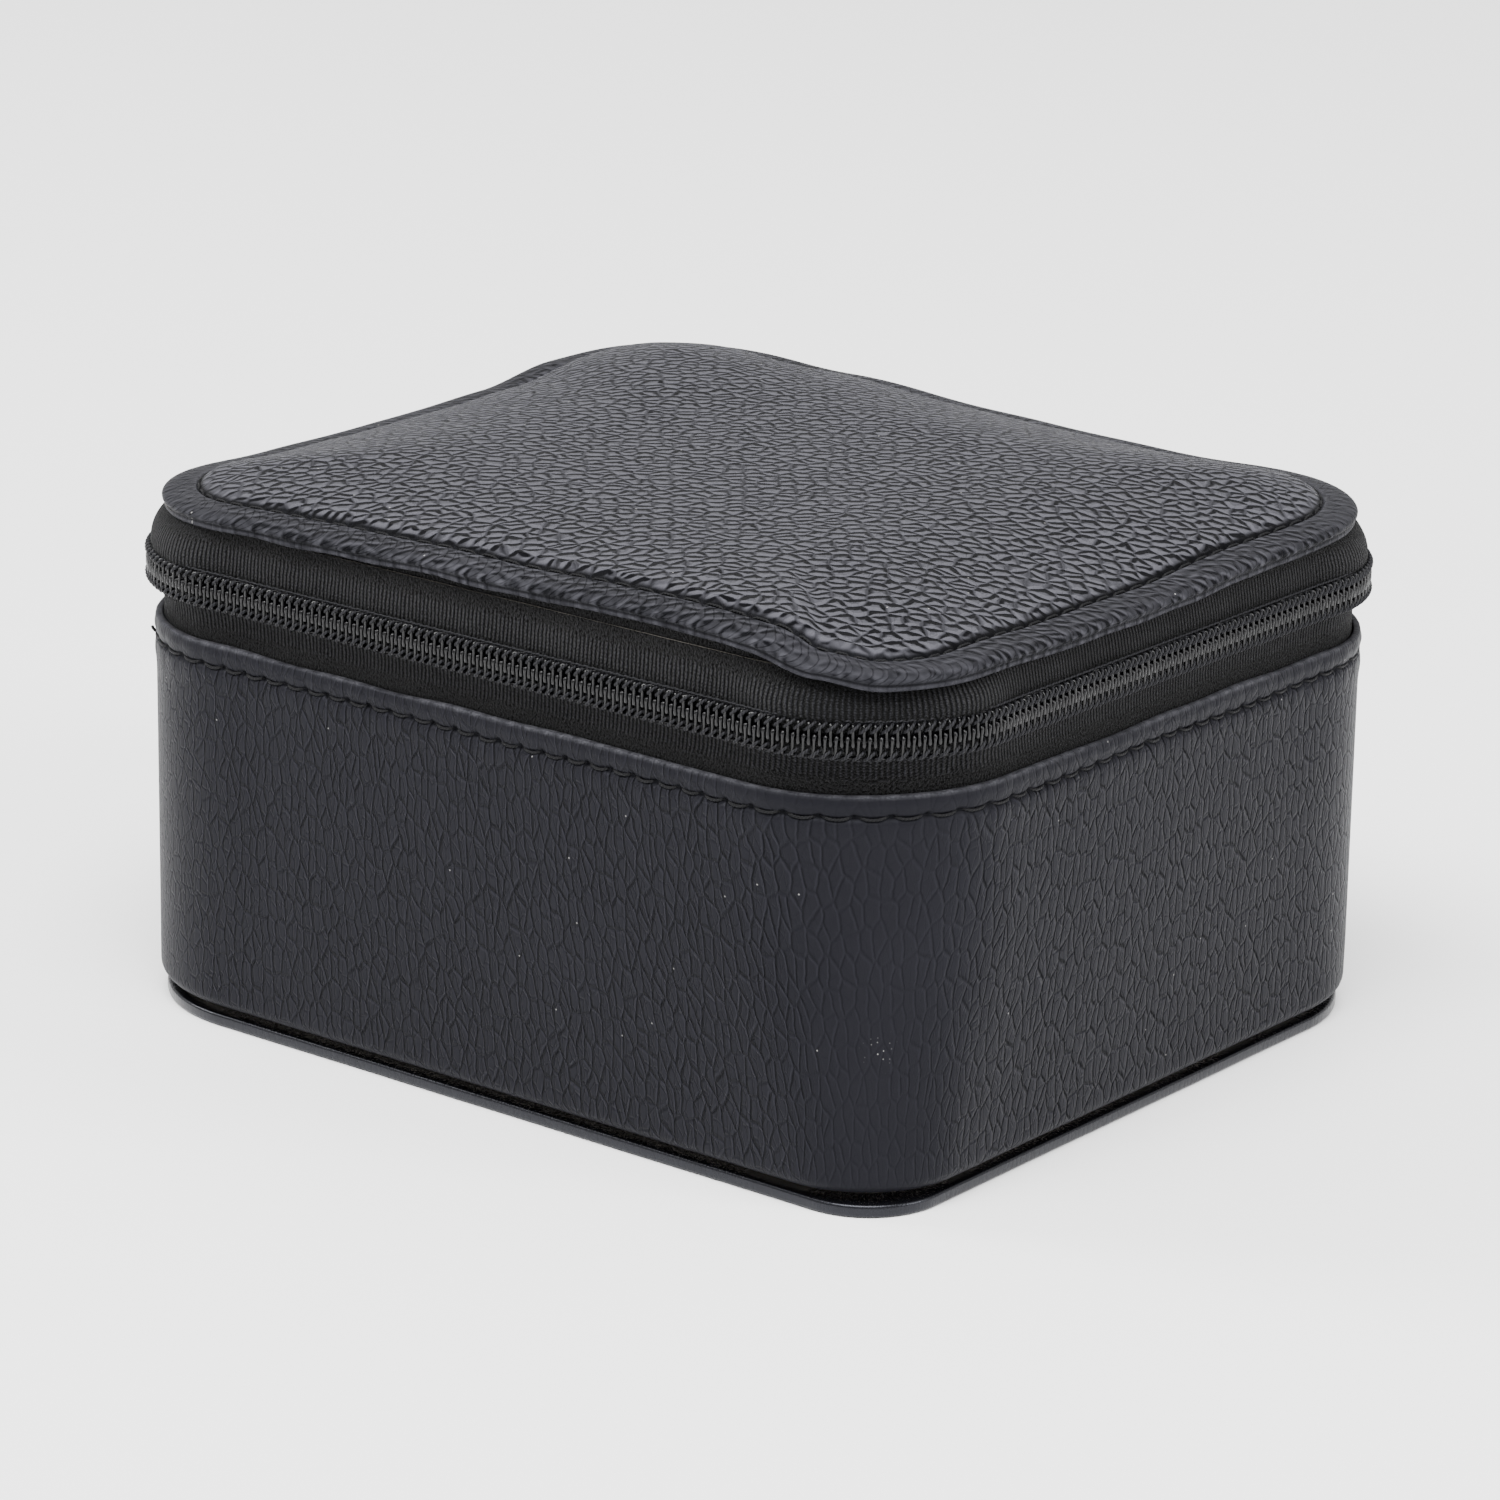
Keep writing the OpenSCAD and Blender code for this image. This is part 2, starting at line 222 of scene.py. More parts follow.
def skin(name, rows, s, closed, material, shape=None, flip=False, extra=None):
    """Sweeps a profile round the outline. rows are (offset, height, corner radius).

    shape gives an outward and an upward displacement, and extra makes point attributes."""
    k, f = NOMINAL.split(s)
    along = [0.0]
    for (o, z, _), (o1, z1, _) in zip(rows, rows[1:]):
        along.append(along[-1] + math.hypot(o1 - o, z1 - z))
    out = np.zeros((len(rows), len(s), 3))
    for i, (o, z, r) in enumerate(rows):
        xy, n = Track(o, r).place(k, f)
        dn, dz = shape(s, o, z) if shape else (0, 0)
        out[i, :, :2] = xy + n * (np.zeros(len(s)) + dn)[:, None]
        out[i, :, 2] = z + dz
    u = np.repeat(s[None], len(rows), 0)
    v = np.repeat(np.array(along)[:, None], len(s), 1)
    ex = {key: fn(s, out) for key, fn in (extra or {}).items()}
    return make(name, out.reshape(-1, 3), grid(out, closed, flip), material,
                grid_uv(u, v, closed, ROUND, flip), extra=ex)


def tubes(name, paths, radius, material, sides):
    """Round threads and wires, closed at both ends, along point lists (each n x 3)."""
    verts, faces, uvs, base = [], [], [], 0
    ring = np.arange(sides) * TAU / sides
    even = np.isscalar(radius)
    rad = radius if even else np.asarray(radius)[:, None, None]
    girth = 0.3     # mm, near enough for the texture
    for path in paths:
        p = np.asarray(path, float)
        n = len(p)
        t = np.gradient(p, axis=0)
        t /= np.linalg.norm(t, axis=1)[:, None] + TINY
        ref = np.array([0.0, 0.0, 1.0]) if abs(t[0, 2]) < 0.8 else np.array([1.0, 0.0, 0.0])
        a = np.zeros_like(p)
        for i in range(n):
            ref = ref - t[i] * (ref @ t[i])
            ref = ref / (np.linalg.norm(ref) + TINY)
            a[i] = ref
        b = np.cross(t, a)
        round_it = np.cos(ring)[None, :, None] * a[:, None] + np.sin(ring)[None, :, None] * b[:, None]
        pts = p[:, None] + rad * round_it
        verts += [pts.reshape(-1, 3), p[[0, -1]]]
        faces += (grid(pts, True) + base).tolist()
        dist = np.concatenate([[0], np.cumsum(np.linalg.norm(np.diff(p, axis=0), axis=1))])
        u = np.repeat(ring[None] * (radius if even else girth), n, 0)
        uvs.append(grid_uv(u, np.repeat(dist[:, None], sides, 1), True, TAU * girth))
        last = base + (n - 1) * sides
        first_cap, last_cap = last + sides, last + sides + 1
        faces += [[first_cap, base + (j + 1) % sides, base + j] for j in range(sides)]
        faces += [[last_cap, last + j, last + (j + 1) % sides] for j in range(sides)]
        uvs.append(np.zeros((sides * 2 * 3, 2)))
        base = last_cap + 1
    return make(name, np.concatenate(verts), faces, material, np.concatenate(uvs))


# ---- material helpers
class Mat:
    """A material under construction: each method adds one node and returns its output."""

    def __init__(self, name):
        self.m = bpy.data.materials.new(name)
        self.m.use_nodes = True
        self.t = self.m.node_tree
        self.b = self.t.nodes["Principled BSDF"]

    def n(self, kind, ins=None, **props):
        node = self.t.nodes.new("ShaderNode" + kind)
        for k, v in props.items():
            setattr(node, k, v)
        for k, v in (ins or {}).items():
            self.put(node.inputs[k], v)
        return node

    def put(self, sock, v):
        if isinstance(v, bpy.types.NodeSocket):
            self.t.links.new(v, sock)
        elif isinstance(v, bpy.types.Node):
            self.t.links.new(v.outputs[0], sock)
        else:
            sock.default_value = v

    def math(self, op, a, b=0.0, clamp=False):
        return self.n("Math", {0: a, 1: b}, operation=op, use_clamp=clamp).outputs[0]

    def add(self, a, b):
        return self.math("ADD", a, b)

    def less(self, a, b):
        return self.math("SUBTRACT", a, b)

    def mul(self, a, b):
        return self.math("MULTIPLY", a, b)

    def vmath(self, op, a, b):
        return self.n("VectorMath", {0: a, 1: b}, operation=op).outputs[0]

    def remap(self, v, a, b, c=0.0, d=1.0):
        """v from a..b to c..d, eased at both ends."""
        ins = {0: v, 1: a, 2: b, 3: c, 4: d}
        return self.n("MapRange", ins, interpolation_type="SMOOTHSTEP").outputs[0]

    def mix(self, f, a, b):
        node = self.n("Mix", {0: f}, data_type="RGBA")
        self.put(node.inputs[6], a)
        self.put(node.inputs[7], b)
        return node.outputs[2]

    def noise(self, vec, scale, detail=3.0, rough=0.55):
        ins = {"Vector": vec, "Scale": scale, "Detail": detail, "Roughness": rough}
        return self.n("TexNoise", ins, noise_dimensions="3D")

    def voronoi(self, vec, feature="DISTANCE_TO_EDGE", rnd=1.0):
        ins = {"Vector": vec, "Scale": 1.0, "Randomness": rnd}
        return self.n("TexVoronoi", ins, feature=feature, voronoi_dimensions="2D")

    def scaled(self, vec, scale, **more):
        """vec times scale, with a Location or Rotation too if given."""
        return self.n("Mapping", {"Vector": vec, "Scale": scale, **more}).outputs[0]

    def wobble(self, base, scale, amount):
        """base pushed about by a smooth noise, up to half of amount each way."""
        wob = self.noise(base, scale, 2.0)
        off = self.vmath("SCALE", self.vmath("SUBTRACT", wob.outputs["Color"], (0.5, 0.5, 0.5)), (0, 0, 0))
        off.node.inputs[3].default_value = amount
        return self.vmath("ADD", base, off)

    def specks(self, base, scale, share, near, far, strength):
        """Round dots near the middles of square cells 1 / scale mm wide, and which cells keep theirs."""
        cells = self.voronoi(self.scaled(base, (scale, scale, scale)), "F1")
        random = self.n("SeparateColor", {0: cells.outputs["Color"]}).outputs[0]
        kept = self.math("GREATER_THAN", random, share)
        return self.remap(cells.outputs["Distance"], near, far, strength, 0.0), kept

    def bump(self, height, distance):
        return self.n("Bump", {"Height": height, "Distance": distance, "Strength": 1.0}).outputs[0]

    def uv(self):
        """UV in mm."""
        tc = self.n("UVMap", uv_map="UVMap")
        return self.scaled(tc.outputs[0], (UV_MM, UV_MM, 1))

    def obj(self):
        """Object coordinates in mm."""
        tc = self.n("TexCoord")
        return self.scaled(tc.outputs["Object"], (1 / MM, 1 / MM, 1 / MM))

    def attr(self, name):
        return self.n("Attribute", attribute_name=name).outputs["Fac"]

    def out(self, **ins):
        for k, v in ins.items():
            self.put(self.b.inputs[k.replace("_", " ")], v)
        return self.m


def rgb(r, g, b):
    return (r, g, b, 1.0)


# ---- materials
LID_GRAIN_TURN = -0.667     # radians, so that the lid's cells lie across the photo's view
CELL_RANDOM = 0.85


def leather(name, dark, light, cell, stretch, depth, rough, use_grain=True, fine=0.25, spec=0.5,
            warp=0.5, edge=None, planar=False, dust=0.0, pillow=0.65, line=0.10, crease_shade=0.82,
            lint=False, painted_light_shift=(0.0, 0.0), painted_shading=0.5):
    """Pebble grain in mm: cells with creases between them, a finer net on top, and pores.

    cell and stretch size the cells, pillow rounds them, and line is how wide the creases are.
    tint paints shade into the creases, and relief paints light and shade onto the cells' slopes along
    emboss, a direction fixed to the object. planar is for the lid: it maps from above and reads the soft
    rim's own attributes."""
    m = Mat(name)
    base = m.obj() if planar else m.uv()
    if planar:
        base = m.n("Mapping", {"Vector": base, "Rotation": (0, 0, LID_GRAIN_TURN)}).outputs[0]
    vec = m.wobble(base, 0.22, cell * warp * 2.2)
    cells = (1 / cell, 1 / (cell * stretch), 1)
    big = m.voronoi(m.scaled(vec, cells), rnd=CELL_RANDOM)
    pill = m.add(m.mul(m.remap(big, 0.0, line), 1 - pillow), m.mul(m.remap(big, 0.0, 0.45), pillow))
    small = m.voronoi(m.scaled(vec, (1.9 / cell, 1.5 / (cell * stretch), 1), Location=(3.3, 1.7, 0)))
    net = m.remap(small, 0.0, 0.13)
    pores = m.noise(base, 5.0, 2.0, 0.6)
    uneven = m.noise(base, 0.09, 2.0)
    live = m.remap(uneven, 0.32, 0.62, 0.7, 1.0)
    h = m.add(m.mul(pill, 1.0 - fine), m.mul(net, fine))
    if use_grain:
        live = m.mul(live, m.attr("grain"))
    h = m.less(h, 1.0)
    # painted light and shade: paler on the slopes towards the front, darker behind each crease, in a
    # direction fixed to the object
    shift = (painted_light_shift[0] / cell, painted_light_shift[1] / (cell * stretch), 0)
    beside = m.voronoi(m.scaled(vec, cells, Location=shift), rnd=CELL_RANDOM)
    reach = 0.36 if pillow > 0.5 else line * 1.6
    slope_painted_light = m.less(m.remap(big, 0.0, reach), m.remap(beside, 0.0, reach))
    # painted shade: the creases darker and the cells' tops paler, scaled by tint
    tone = m.mul(m.less(m.remap(h, -0.62, 0.04), 0.5), crease_shade)
    tone = m.mul(m.add(tone, m.mul(slope_painted_light, painted_shading)), live)
    h = m.add(m.mul(h, live), m.mul(pores, 0.05))
    if planar:
        # wrinkles across the soft rim, with painted shade along their lines, and painted shade over the
        # whole rim
        lean = m.add(m.attr("along"), m.mul(m.attr("across"), 0.7))
        ring = {0: m.mul(lean, 0.62), 1: m.mul(m.attr("across"), 0.2)}
        gather = m.voronoi(m.n("CombineXYZ", ring))
        crease = m.remap(gather, 0.0, 0.12)
        crease = m.mul(m.less(crease, 0.9), m.attr("rim"))
        h = m.add(h, m.mul(crease, 0.14))
        tone = m.add(tone, m.mul(crease, 0.12))
        tone = m.less(tone, m.mul(m.attr("rim"), 0.28))
    patch = m.noise(base, 0.035, 3.0)
    tone = m.add(tone, m.mul(patch, 0.3))
    tone = m.math("ADD", tone, 0.38, clamp=True)
    color = m.mix(tone, rgb(*dark), rgb(*light))
    r = m.less(rough + 0.1, m.mul(tone, 0.12))
    r = m.add(r, m.mul(m.less(patch, 0.5), 0.12))
    if edge is not None:
        # edge colour: paler along the walls' raw top edge, darker along the lid's lower lip
        edge_mark = m.attr("edge")
        fuzz = m.noise(base, 2.2, 3.0, 0.7)
        edge_mark = m.mul(edge_mark, m.remap(fuzz, 0.35, 0.65, 0.3, 1.0))
        color = m.mix(edge_mark, color, rgb(*edge))
        r = m.add(r, m.mul(edge_mark, 0.2))
    if use_grain:
        # painted shadow: the dark attribute darkens the stitched grooves, needle holes and the fold in the
        # lid's rolled lip towards black
        color = m.mix(m.attr("dark"), color, rgb(0.0006, 0.0006, 0.0008))
    if dust > 0:
        dot, few = m.specks(base, 0.16, 0.93, 0.012, 0.026, dust)
        color = m.mix(m.mul(dot, few), color, rgb(0.55, 0.54, 0.52))
    if lint:
        dot, some = m.specks(base, 0.9, 0.45, 0.05, 0.13, 0.6)
        dot = m.mul(dot, m.attr("lint"))
        color = m.mix(m.mul(dot, some), color, rgb(0.45, 0.45, 0.44))
    nrm = m.bump(h, depth * MM)
    m.b.inputs["Specular IOR Level"].default_value = spec
    m.b.inputs["Specular Tint"].default_value = rgb(0.86, 0.88, 1.0)
    return m.out(Base_Color=color, Roughness=r, Normal=nrm)


def fabric(name, dark, light, depth):
    """Zip tape: ribs across its width, fine cross threads, a speckled knitted band by the seams, painted
    dark as shade, and painted shade beside the chain.
    """
    rib, weave = 0.78, 0.4      # mm from one to the next
    m = Mat(name)
    base = m.uv()
    xyz = m.n("SeparateXYZ", {0: m.wobble(base, 0.35, 0.5)})
    ribs = m.math("SINE", m.mul(xyz.outputs[0], TAU / rib))
    cross = m.math("SINE", m.mul(xyz.outputs[1], TAU / weave))
    h = m.add(m.mul(ribs, 0.5), m.mul(m.mul(cross, ribs), 0.18))
    spark = m.noise(base, 2.6, 2.0, 0.7)
    grit = m.remap(spark, 0.42, 0.66, -1.0, 1.0)
    h = m.add(h, m.mul(grit, 0.25))
    band = m.attr("knit_and_shade")
    h = m.add(m.mul(h, m.less(1.0, m.mul(band, 0.75))), m.mul(m.mul(grit, band), 0.9))
    # painted light and shade: the ribs' tops paler, the hollows between them darker
    color = m.mix(m.remap(h, -0.25, 1.0), rgb(*dark), rgb(*light))
    # painted shade: the knitted band and the tape beside the chain darkened towards black
    color = m.mix(m.mul(m.attr("knit_and_shade"), 0.6), color, rgb(0.0004, 0.0004, 0.0005))
    m.b.inputs["Sheen Weight"].default_value = 0.04
    m.b.inputs["Sheen Roughness"].default_value = 0.5
    m.b.inputs["Specular IOR Level"].default_value = 0.08
    return m.out(Base_Color=color, Roughness=0.85, Normal=m.bump(h, depth * MM))


def nylon(name, dark, light, rough):
    """Glossy plastic wire with cloudy patches and a fine unevenness."""
    m = Mat(name)
    base = m.obj()
    a = m.noise(base, 1.4, 3.0)
    b = m.noise(base, 9.0, 2.0)
    color = m.mix(m.remap(a, 0.3, 0.7), rgb(*dark), rgb(*light))
    r = m.add(rough - 0.08, m.mul(a, 0.16))
    m.b.inputs["Specular IOR Level"].default_value = 0.3
    return m.out(Base_Color=color, Roughness=r, Normal=m.bump(b, 0.02 * MM))


def thread(name, dark, light):
    """Twisted thread: slanted ply lines round the strand."""
    m = Mat(name)
    xyz = m.n("SeparateXYZ", {0: m.uv()})
    ply = m.math("SINE", m.add(m.mul(xyz.outputs[1], TAU / 0.55), m.mul(xyz.outputs[0], 9.0)))
    hair = m.noise(m.obj(), 8.0, 2.0)
    h = m.add(m.mul(ply, 0.5), m.mul(hair, 0.6))
    color = m.mix(m.remap(h, -0.4, 0.9), rgb(*dark), rgb(*light))
    m.b.inputs["Specular IOR Level"].default_value = 0.15
    return m.out(Base_Color=color, Roughness=0.6, Normal=m.bump(h, 0.05 * MM))


def velvet(name, dark, light):
    """Short pile: brushed patches, tiny tufts and an edge sheen."""
    m = Mat(name)
    base = m.obj()
    tufts = m.noise(base, 7.0, 2.0, 0.7)
    nap = m.noise(m.scaled(base, (0.05, 0.14, 0.09), Rotation=(0.2, 0.4, 0.6)), 1.0, 3.0)
    crush = m.noise(base, 0.32, 3.0, 0.6)
    tone = m.add(m.mul(nap, 0.55), m.mul(crush, 0.25))
    tone = m.add(tone, m.mul(tufts, 0.35))
    color = m.mix(m.remap(tone, 0.35, 0.8), rgb(*dark), rgb(*light))
    m.b.inputs["Sheen Weight"].default_value = 0.6
    m.b.inputs["Sheen Roughness"].default_value = 0.35
    m.b.inputs["Sheen Tint"].default_value = rgb(0.75, 0.72, 0.7)
    m.b.inputs["Specular IOR Level"].default_value = 0.2
    h = m.add(tufts, m.mul(crush, 0.6))
    return m.out(Base_Color=color, Roughness=0.92, Normal=m.bump(h, 0.1 * MM))


def metal(name, dark, light):
    """Plated zinc: fine polishing marks, patchy colour and a few small pits."""
    m = Mat(name)
    base = m.obj()
    lines = m.noise(m.scaled(base, (1.0, 0.25, 6.0)), 1.0, 3.0)
    pits = m.noise(base, 3.5, 2.0, 0.7)
    patch = m.noise(base, 0.4, 2.0)
    color = m.mix(patch, rgb(*dark), rgb(*light))
    r = m.add(0.2, m.mul(lines, 0.22))
    h = m.add(m.mul(lines, 0.4), m.mul(m.remap(pits, 0.25, 0.4), 0.6))
    m.b.inputs["Metallic"].default_value = 1.0
    return m.out(Base_Color=color, Roughness=r, Normal=m.bump(h, 0.015 * MM))


def card(name, dark, light):
    """Grey board: long fibres and flecks."""
    m = Mat(name)
    base = m.obj()
    fibres = m.noise(m.scaled(base, (0.3, 1.6, 1.2)), 1.0, 4.0, 0.65)
    flecks = m.noise(base, 2.2, 2.0, 0.7)
    tone = m.add(m.mul(fibres, 0.6), m.mul(flecks, 0.4))
    color = m.mix(m.remap(tone, 0.3, 0.7), rgb(*dark), rgb(*light))
    return m.out(Base_Color=color, Roughness=0.9, Normal=m.bump(tone, 0.05 * MM))


def silvered(name):
    """Mirror glass with a faint haze."""
    m = Mat(name)
    base = m.obj()
    haze = m.noise(base, 0.06, 3.0)
    m.b.inputs["Metallic"].default_value = 1.0
    color = m.mix(haze, rgb(0.80, 0.83, 0.84), rgb(0.86, 0.88, 0.88))
    r = m.mul(m.remap(haze, 0.45, 0.75), 0.05)
    return m.out(Base_Color=color, Roughness=r)


LEATHER = leather("wall_leather", (0.0016, 0.0016, 0.0022), (0.0128, 0.0126, 0.0158),
                  cell=1.8, stretch=2.4, depth=0.42, rough=0.42, edge=(0.06, 0.06, 0.067), dust=0.35,
                  spec=0.055, warp=0.3, pillow=0.12, line=0.1, crease_shade=0.16, lint=True, fine=0.35,
                  painted_light_shift=(0.24, 0.08), painted_shading=1.5)
# the lid's leather is the walls' leather painted several times paler: painted sheen, so the top looks more
# lit than the walls
LID_LEATHER_PAINTED_SHEEN = leather("lid_leather", (0.001, 0.001, 0.0016), (0.063, 0.0625, 0.072),
                      cell=2.7, stretch=0.84, depth=0.95, rough=0.42, planar=True,
                      edge=(0.012, 0.012, 0.015), dust=0.5, spec=0.045, warp=0.3, crease_shade=0.35,
                      fine=0.12, line=0.16, painted_light_shift=(0.0, -0.5), painted_shading=3.2)
SMOOTH_WRAP = leather("base_wrap", (0.0015, 0.0015, 0.002), (0.003, 0.003, 0.004),
                      cell=1.1, stretch=2.0, depth=0.02, rough=0.2, use_grain=False, spec=0.3)
HINGE_LEATHER = leather("hinge_leather", (0.0022, 0.0022, 0.003), (0.0105, 0.0105, 0.0135),
                        cell=1.9, stretch=1.5, depth=0.4, rough=0.45, use_grain=False, spec=0.055)
TAPE = fabric("zip_tape", (0.0003, 0.0003, 0.0004), (0.021, 0.021, 0.025), depth=0.36)
NYLON = nylon("zip_coil", (0.001, 0.001, 0.0013), (0.003, 0.003, 0.0038), 0.24)
THREAD = thread("thread", (0.0008, 0.0008, 0.001), (0.004, 0.004, 0.005))
ZIP_THREAD = thread("zip_thread", (0.0016, 0.0016, 0.002), (0.017, 0.017, 0.020))
VELVET = velvet("velvet", (0.012, 0.0118, 0.0125), (0.042, 0.041, 0.043))
METAL = metal("zip_metal", (0.05, 0.05, 0.053), (0.11, 0.11, 0.115))
CARD = card("card", (0.16, 0.145, 0.125), (0.3, 0.28, 0.25))
MIRROR = silvered("mirror_silver")


# ---- profiles and corner radii
CASE_R = 26.0
SIDE_R = 27.0           # walls, at every corner but the front right one
NEAR_R_LOW = 17.5       # walls, front right corner at the foot
NEAR_R_GROWTH = 10.5    # how much wider that corner is under the zip


def arc(o, z, r, a0, a1, n):
    """Profile points on a quarter roll, angles in degrees from outwards to up."""
    turn = [math.radians(a) for a in np.linspace(a0, a1, n)]
    return [(o + r * math.cos(a), z + r * math.sin(a)) for a in turn]


def up_wall(z):
    """0 at the wall's foot and 1 at its top edge."""
    return unit((z - WALL_Z0) / (WALL_Z1 - WALL_Z0))


def blend_r(z, less=0.0):
    """Corner radii of the walls. The front right corner is tight at the base and wide under the zip."""
    t = up_wall(z)
    return SIDE_R - less, NEAR_R_LOW + NEAR_R_GROWTH * (t * t * (3 - 2 * t)) - less


# ---- wall leather and its stitching
S = np.arange(0, ROUND, COLUMN)
S = S * ROUND / (len(S) * COLUMN)
STITCHES = int(round(ROUND / STITCH_LENGTH))
STEP = ROUND / STITCHES
WALL_DROOP = 0.42       # how far each stitch hangs between its holes


def holes(s, width):
    """1 at each needle hole."""
    return bell(np.abs(np.mod(s + STEP / 2, STEP) - STEP / 2), width)


def droop(s):
    """0 at a needle hole and 1 midway between two."""
    return np.abs(np.sin(math.pi * s / STEP))


def wall_line(s):
    """Height of the wall's stitched line."""
    return STITCH_Z + waves(3, s, 0.0, 0.12)


def wall_shape(s, o, z):
    """Groove, needle holes and soft rolls by the stitching, and a slight belly on the straights."""
    groove = bell(z - (wall_line(s) - WALL_DROOP * droop(s)), 0.42) * (0.28 + 0.18 * droop(s))
    dent = holes(s, 0.42) * bell(z - STITCH_Z + 0.2, 0.6) * 0.50
    puff = 0.30 * bell(z - STITCH_Z - 1.7, 1.0) + 0.26 * bell(z - STITCH_Z + 2.3, 1.9)
    outside = 1.0 if o > -0.9 and z < WALL_Z1 - 0.1 else 0.25
    belly = 0.45 * math.sin(math.pi * up_wall(z))
    d = outside * (puff * (0.55 + 0.45 * droop(s)) - groove - dent) + belly * (1 - corner_mask(s))
    d = d + waves(11, s, z, 0.10, (3, 26)) * min(1, (z - WALL_Z0) / 8)
    lip = waves(5, s, 0.0, 0.14, (4, 30)) * unit((z - STITCH_Z) / 3)
    return d, lip


def wall_grain(s, out):
    """How strong the grain is: weak on the corners, above the stitching and at the foot."""
    z = out[:, :, 2]
    flat = np.clip(1 - 0.45 * corner_mask(s, 16.0)[None] - 0.4 * bump_at(s, NEAR, 15.0)[None], 0, 1)
    strip = 1 / (1 + np.exp((z - STITCH_Z + 0.6) * 3.0))
    foot = np.clip((z - WALL_Z0) / 3.0, 0.15, 1)
    return flat * (0.3 + 0.7 * strip) * foot


def wall_edge(s, out):
    """The raw, paler cut edge along the top."""
    z = out[:, :, 2]
    return np.clip((z - WALL_Z1 + 0.55) / 0.5, 0, 1) * (0.75 + 0.25 * np.sin(s * 1.7)[None])


def wall_dark(s, out):
    """Shadow in the stitched groove and the needle holes."""
    z = out[:, :, 2]
    line = wall_line(s)[None]
    seam = bell(z - line + WALL_DROOP * droop(s)[None], 0.34) * 0.55
    return np.clip(seam + holes(s, 0.36)[None] * bell(z - line, 0.5), 0, 1) * 0.9


def wall_lint(s, out):
    """A small cluster of lint low on the front right corner."""
    z = out[:, :, 2]
    return np.exp(-(((s[None] - NEAR) / 1.7) ** 2) - (((z - WALL_Z0 - 22) / 1.5) ** 2))


rows = [(-3.6, WALL_Z0 + 0.45), (-3.0, WALL_Z0 + 0.05)]
rows += arc(-2.2, WALL_Z0 + 2.2, 2.2, -90, 0, 8)
rows += [(0, z) for z in np.arange(WALL_Z0 + 3.2, STITCH_Z - 3.1, 1.1)]
rows += [(0, z) for z in np.arange(STITCH_Z - 3.0, WALL_Z1 - 0.45, 0.24)]
rows += arc(-0.4, WALL_Z1 - 0.4, 0.4, 10, 90, 4) + arc(-0.85, WALL_Z1 - 0.35, 0.35, 90, 180, 4)
rows += [(-1.2, WALL_Z1 - 1.2), (-1.2, WALL_Z1 - 3.0)]
walls = skin("wall_skin", [(o, z, blend_r(z)) for o, z in rows], S, True, LEATHER, wall_shape,
             extra={"grain": wall_grain, "edge": wall_edge, "dark": wall_dark, "lint": wall_lint})
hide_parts("wall_leather", "wall_padding")
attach(walls, "case")


def stitch_paths(track, count, z_at, droop_mm, sink, lift, seed=4, flat=False):
    """Stitches from hole to hole along a track. flat lays them on top of a horizontal surface."""
    n, jitter, gap = 9, 0.12, 0.35
    r = np.random.default_rng(seed)
    step = ROUND / count
    out = []
    for j in range(count):
        t = np.linspace(0, 1, n)
        s = (j + gap / step + t * (1 - 2 * gap / step)) * step + r.normal(0, jitter * 0.5)
        xy, nn = track.place(*NOMINAL.split(s))
        arch = np.sin(math.pi * t)
        o = -sink + (sink + lift) * np.minimum(1, arch * 1.9)
        tilt = r.normal(0, jitter * 0.35) + r.normal(0, jitter * 0.6) * (t - 0.5)
        p = np.zeros((n, 3))
        if flat:
            p[:, :2] = xy - nn * (droop_mm * arch * 0.5 + tilt * 0.5)[:, None]
            p[:, 2] = z_at(s) + o
        else:
            p[:, :2] = xy + nn * o[:, None]
            p[:, 2] = z_at(s) - droop_mm * arch + tilt
        out.append(p)
    return out


def loose_ends():
    """Short cut ends of thread at the left and back right corners."""
    out = []
    for k, turn in ((3, 1.0), (7, -1.0)):
        s = NOMINAL.cum[k] + 0.425 * NOMINAL.seg[k]
        xy, nn = Track(-0.3, blend_r(STITCH_Z)).at(np.full(9, s))
        t = np.linspace(0, 1, 9)
        p = np.zeros((9, 3))
        p[:, :2] = xy + nn * (0.95 * t ** 0.8)[:, None]
        p[:, 2] = STITCH_Z - 0.2 + turn * 0.9 * t * t
        out.append(p)
    return out


wall_stitches = stitch_paths(Track(-0.12, blend_r(STITCH_Z)), STITCHES, lambda s: wall_line(s) + 0.02,
                             WALL_DROOP, sink=0.7, lift=0.05)
wall_thread = tubes("wall_thread", wall_stitches + loose_ends(), 0.25, THREAD, 7)
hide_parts("wall_stitching")
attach(wall_thread, "case")


# ---- base plate
def plate_shape(s, o, z):
    return waves(21, s, z, 0.05, (3, 20)), 0


PLATE_R = (27.0, 14.0)
plate_rows = [(-30, 0.02), (-12, 0.0), (-1.6, 0.0)] + arc(-1.5, 0.5, 0.5, -90, 0, 4)
plate_rows += arc(-1.5, BASE_T - 0.5, 0.5, 0, 90, 4) + [(-3.2, BASE_T), (-6.0, BASE_T)]
plate = skin("base_wrap", [(o, z, PLATE_R) for o, z in plate_rows], S, True, SMOOTH_WRAP, plate_shape)
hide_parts("base_cover")
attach(plate, "case")


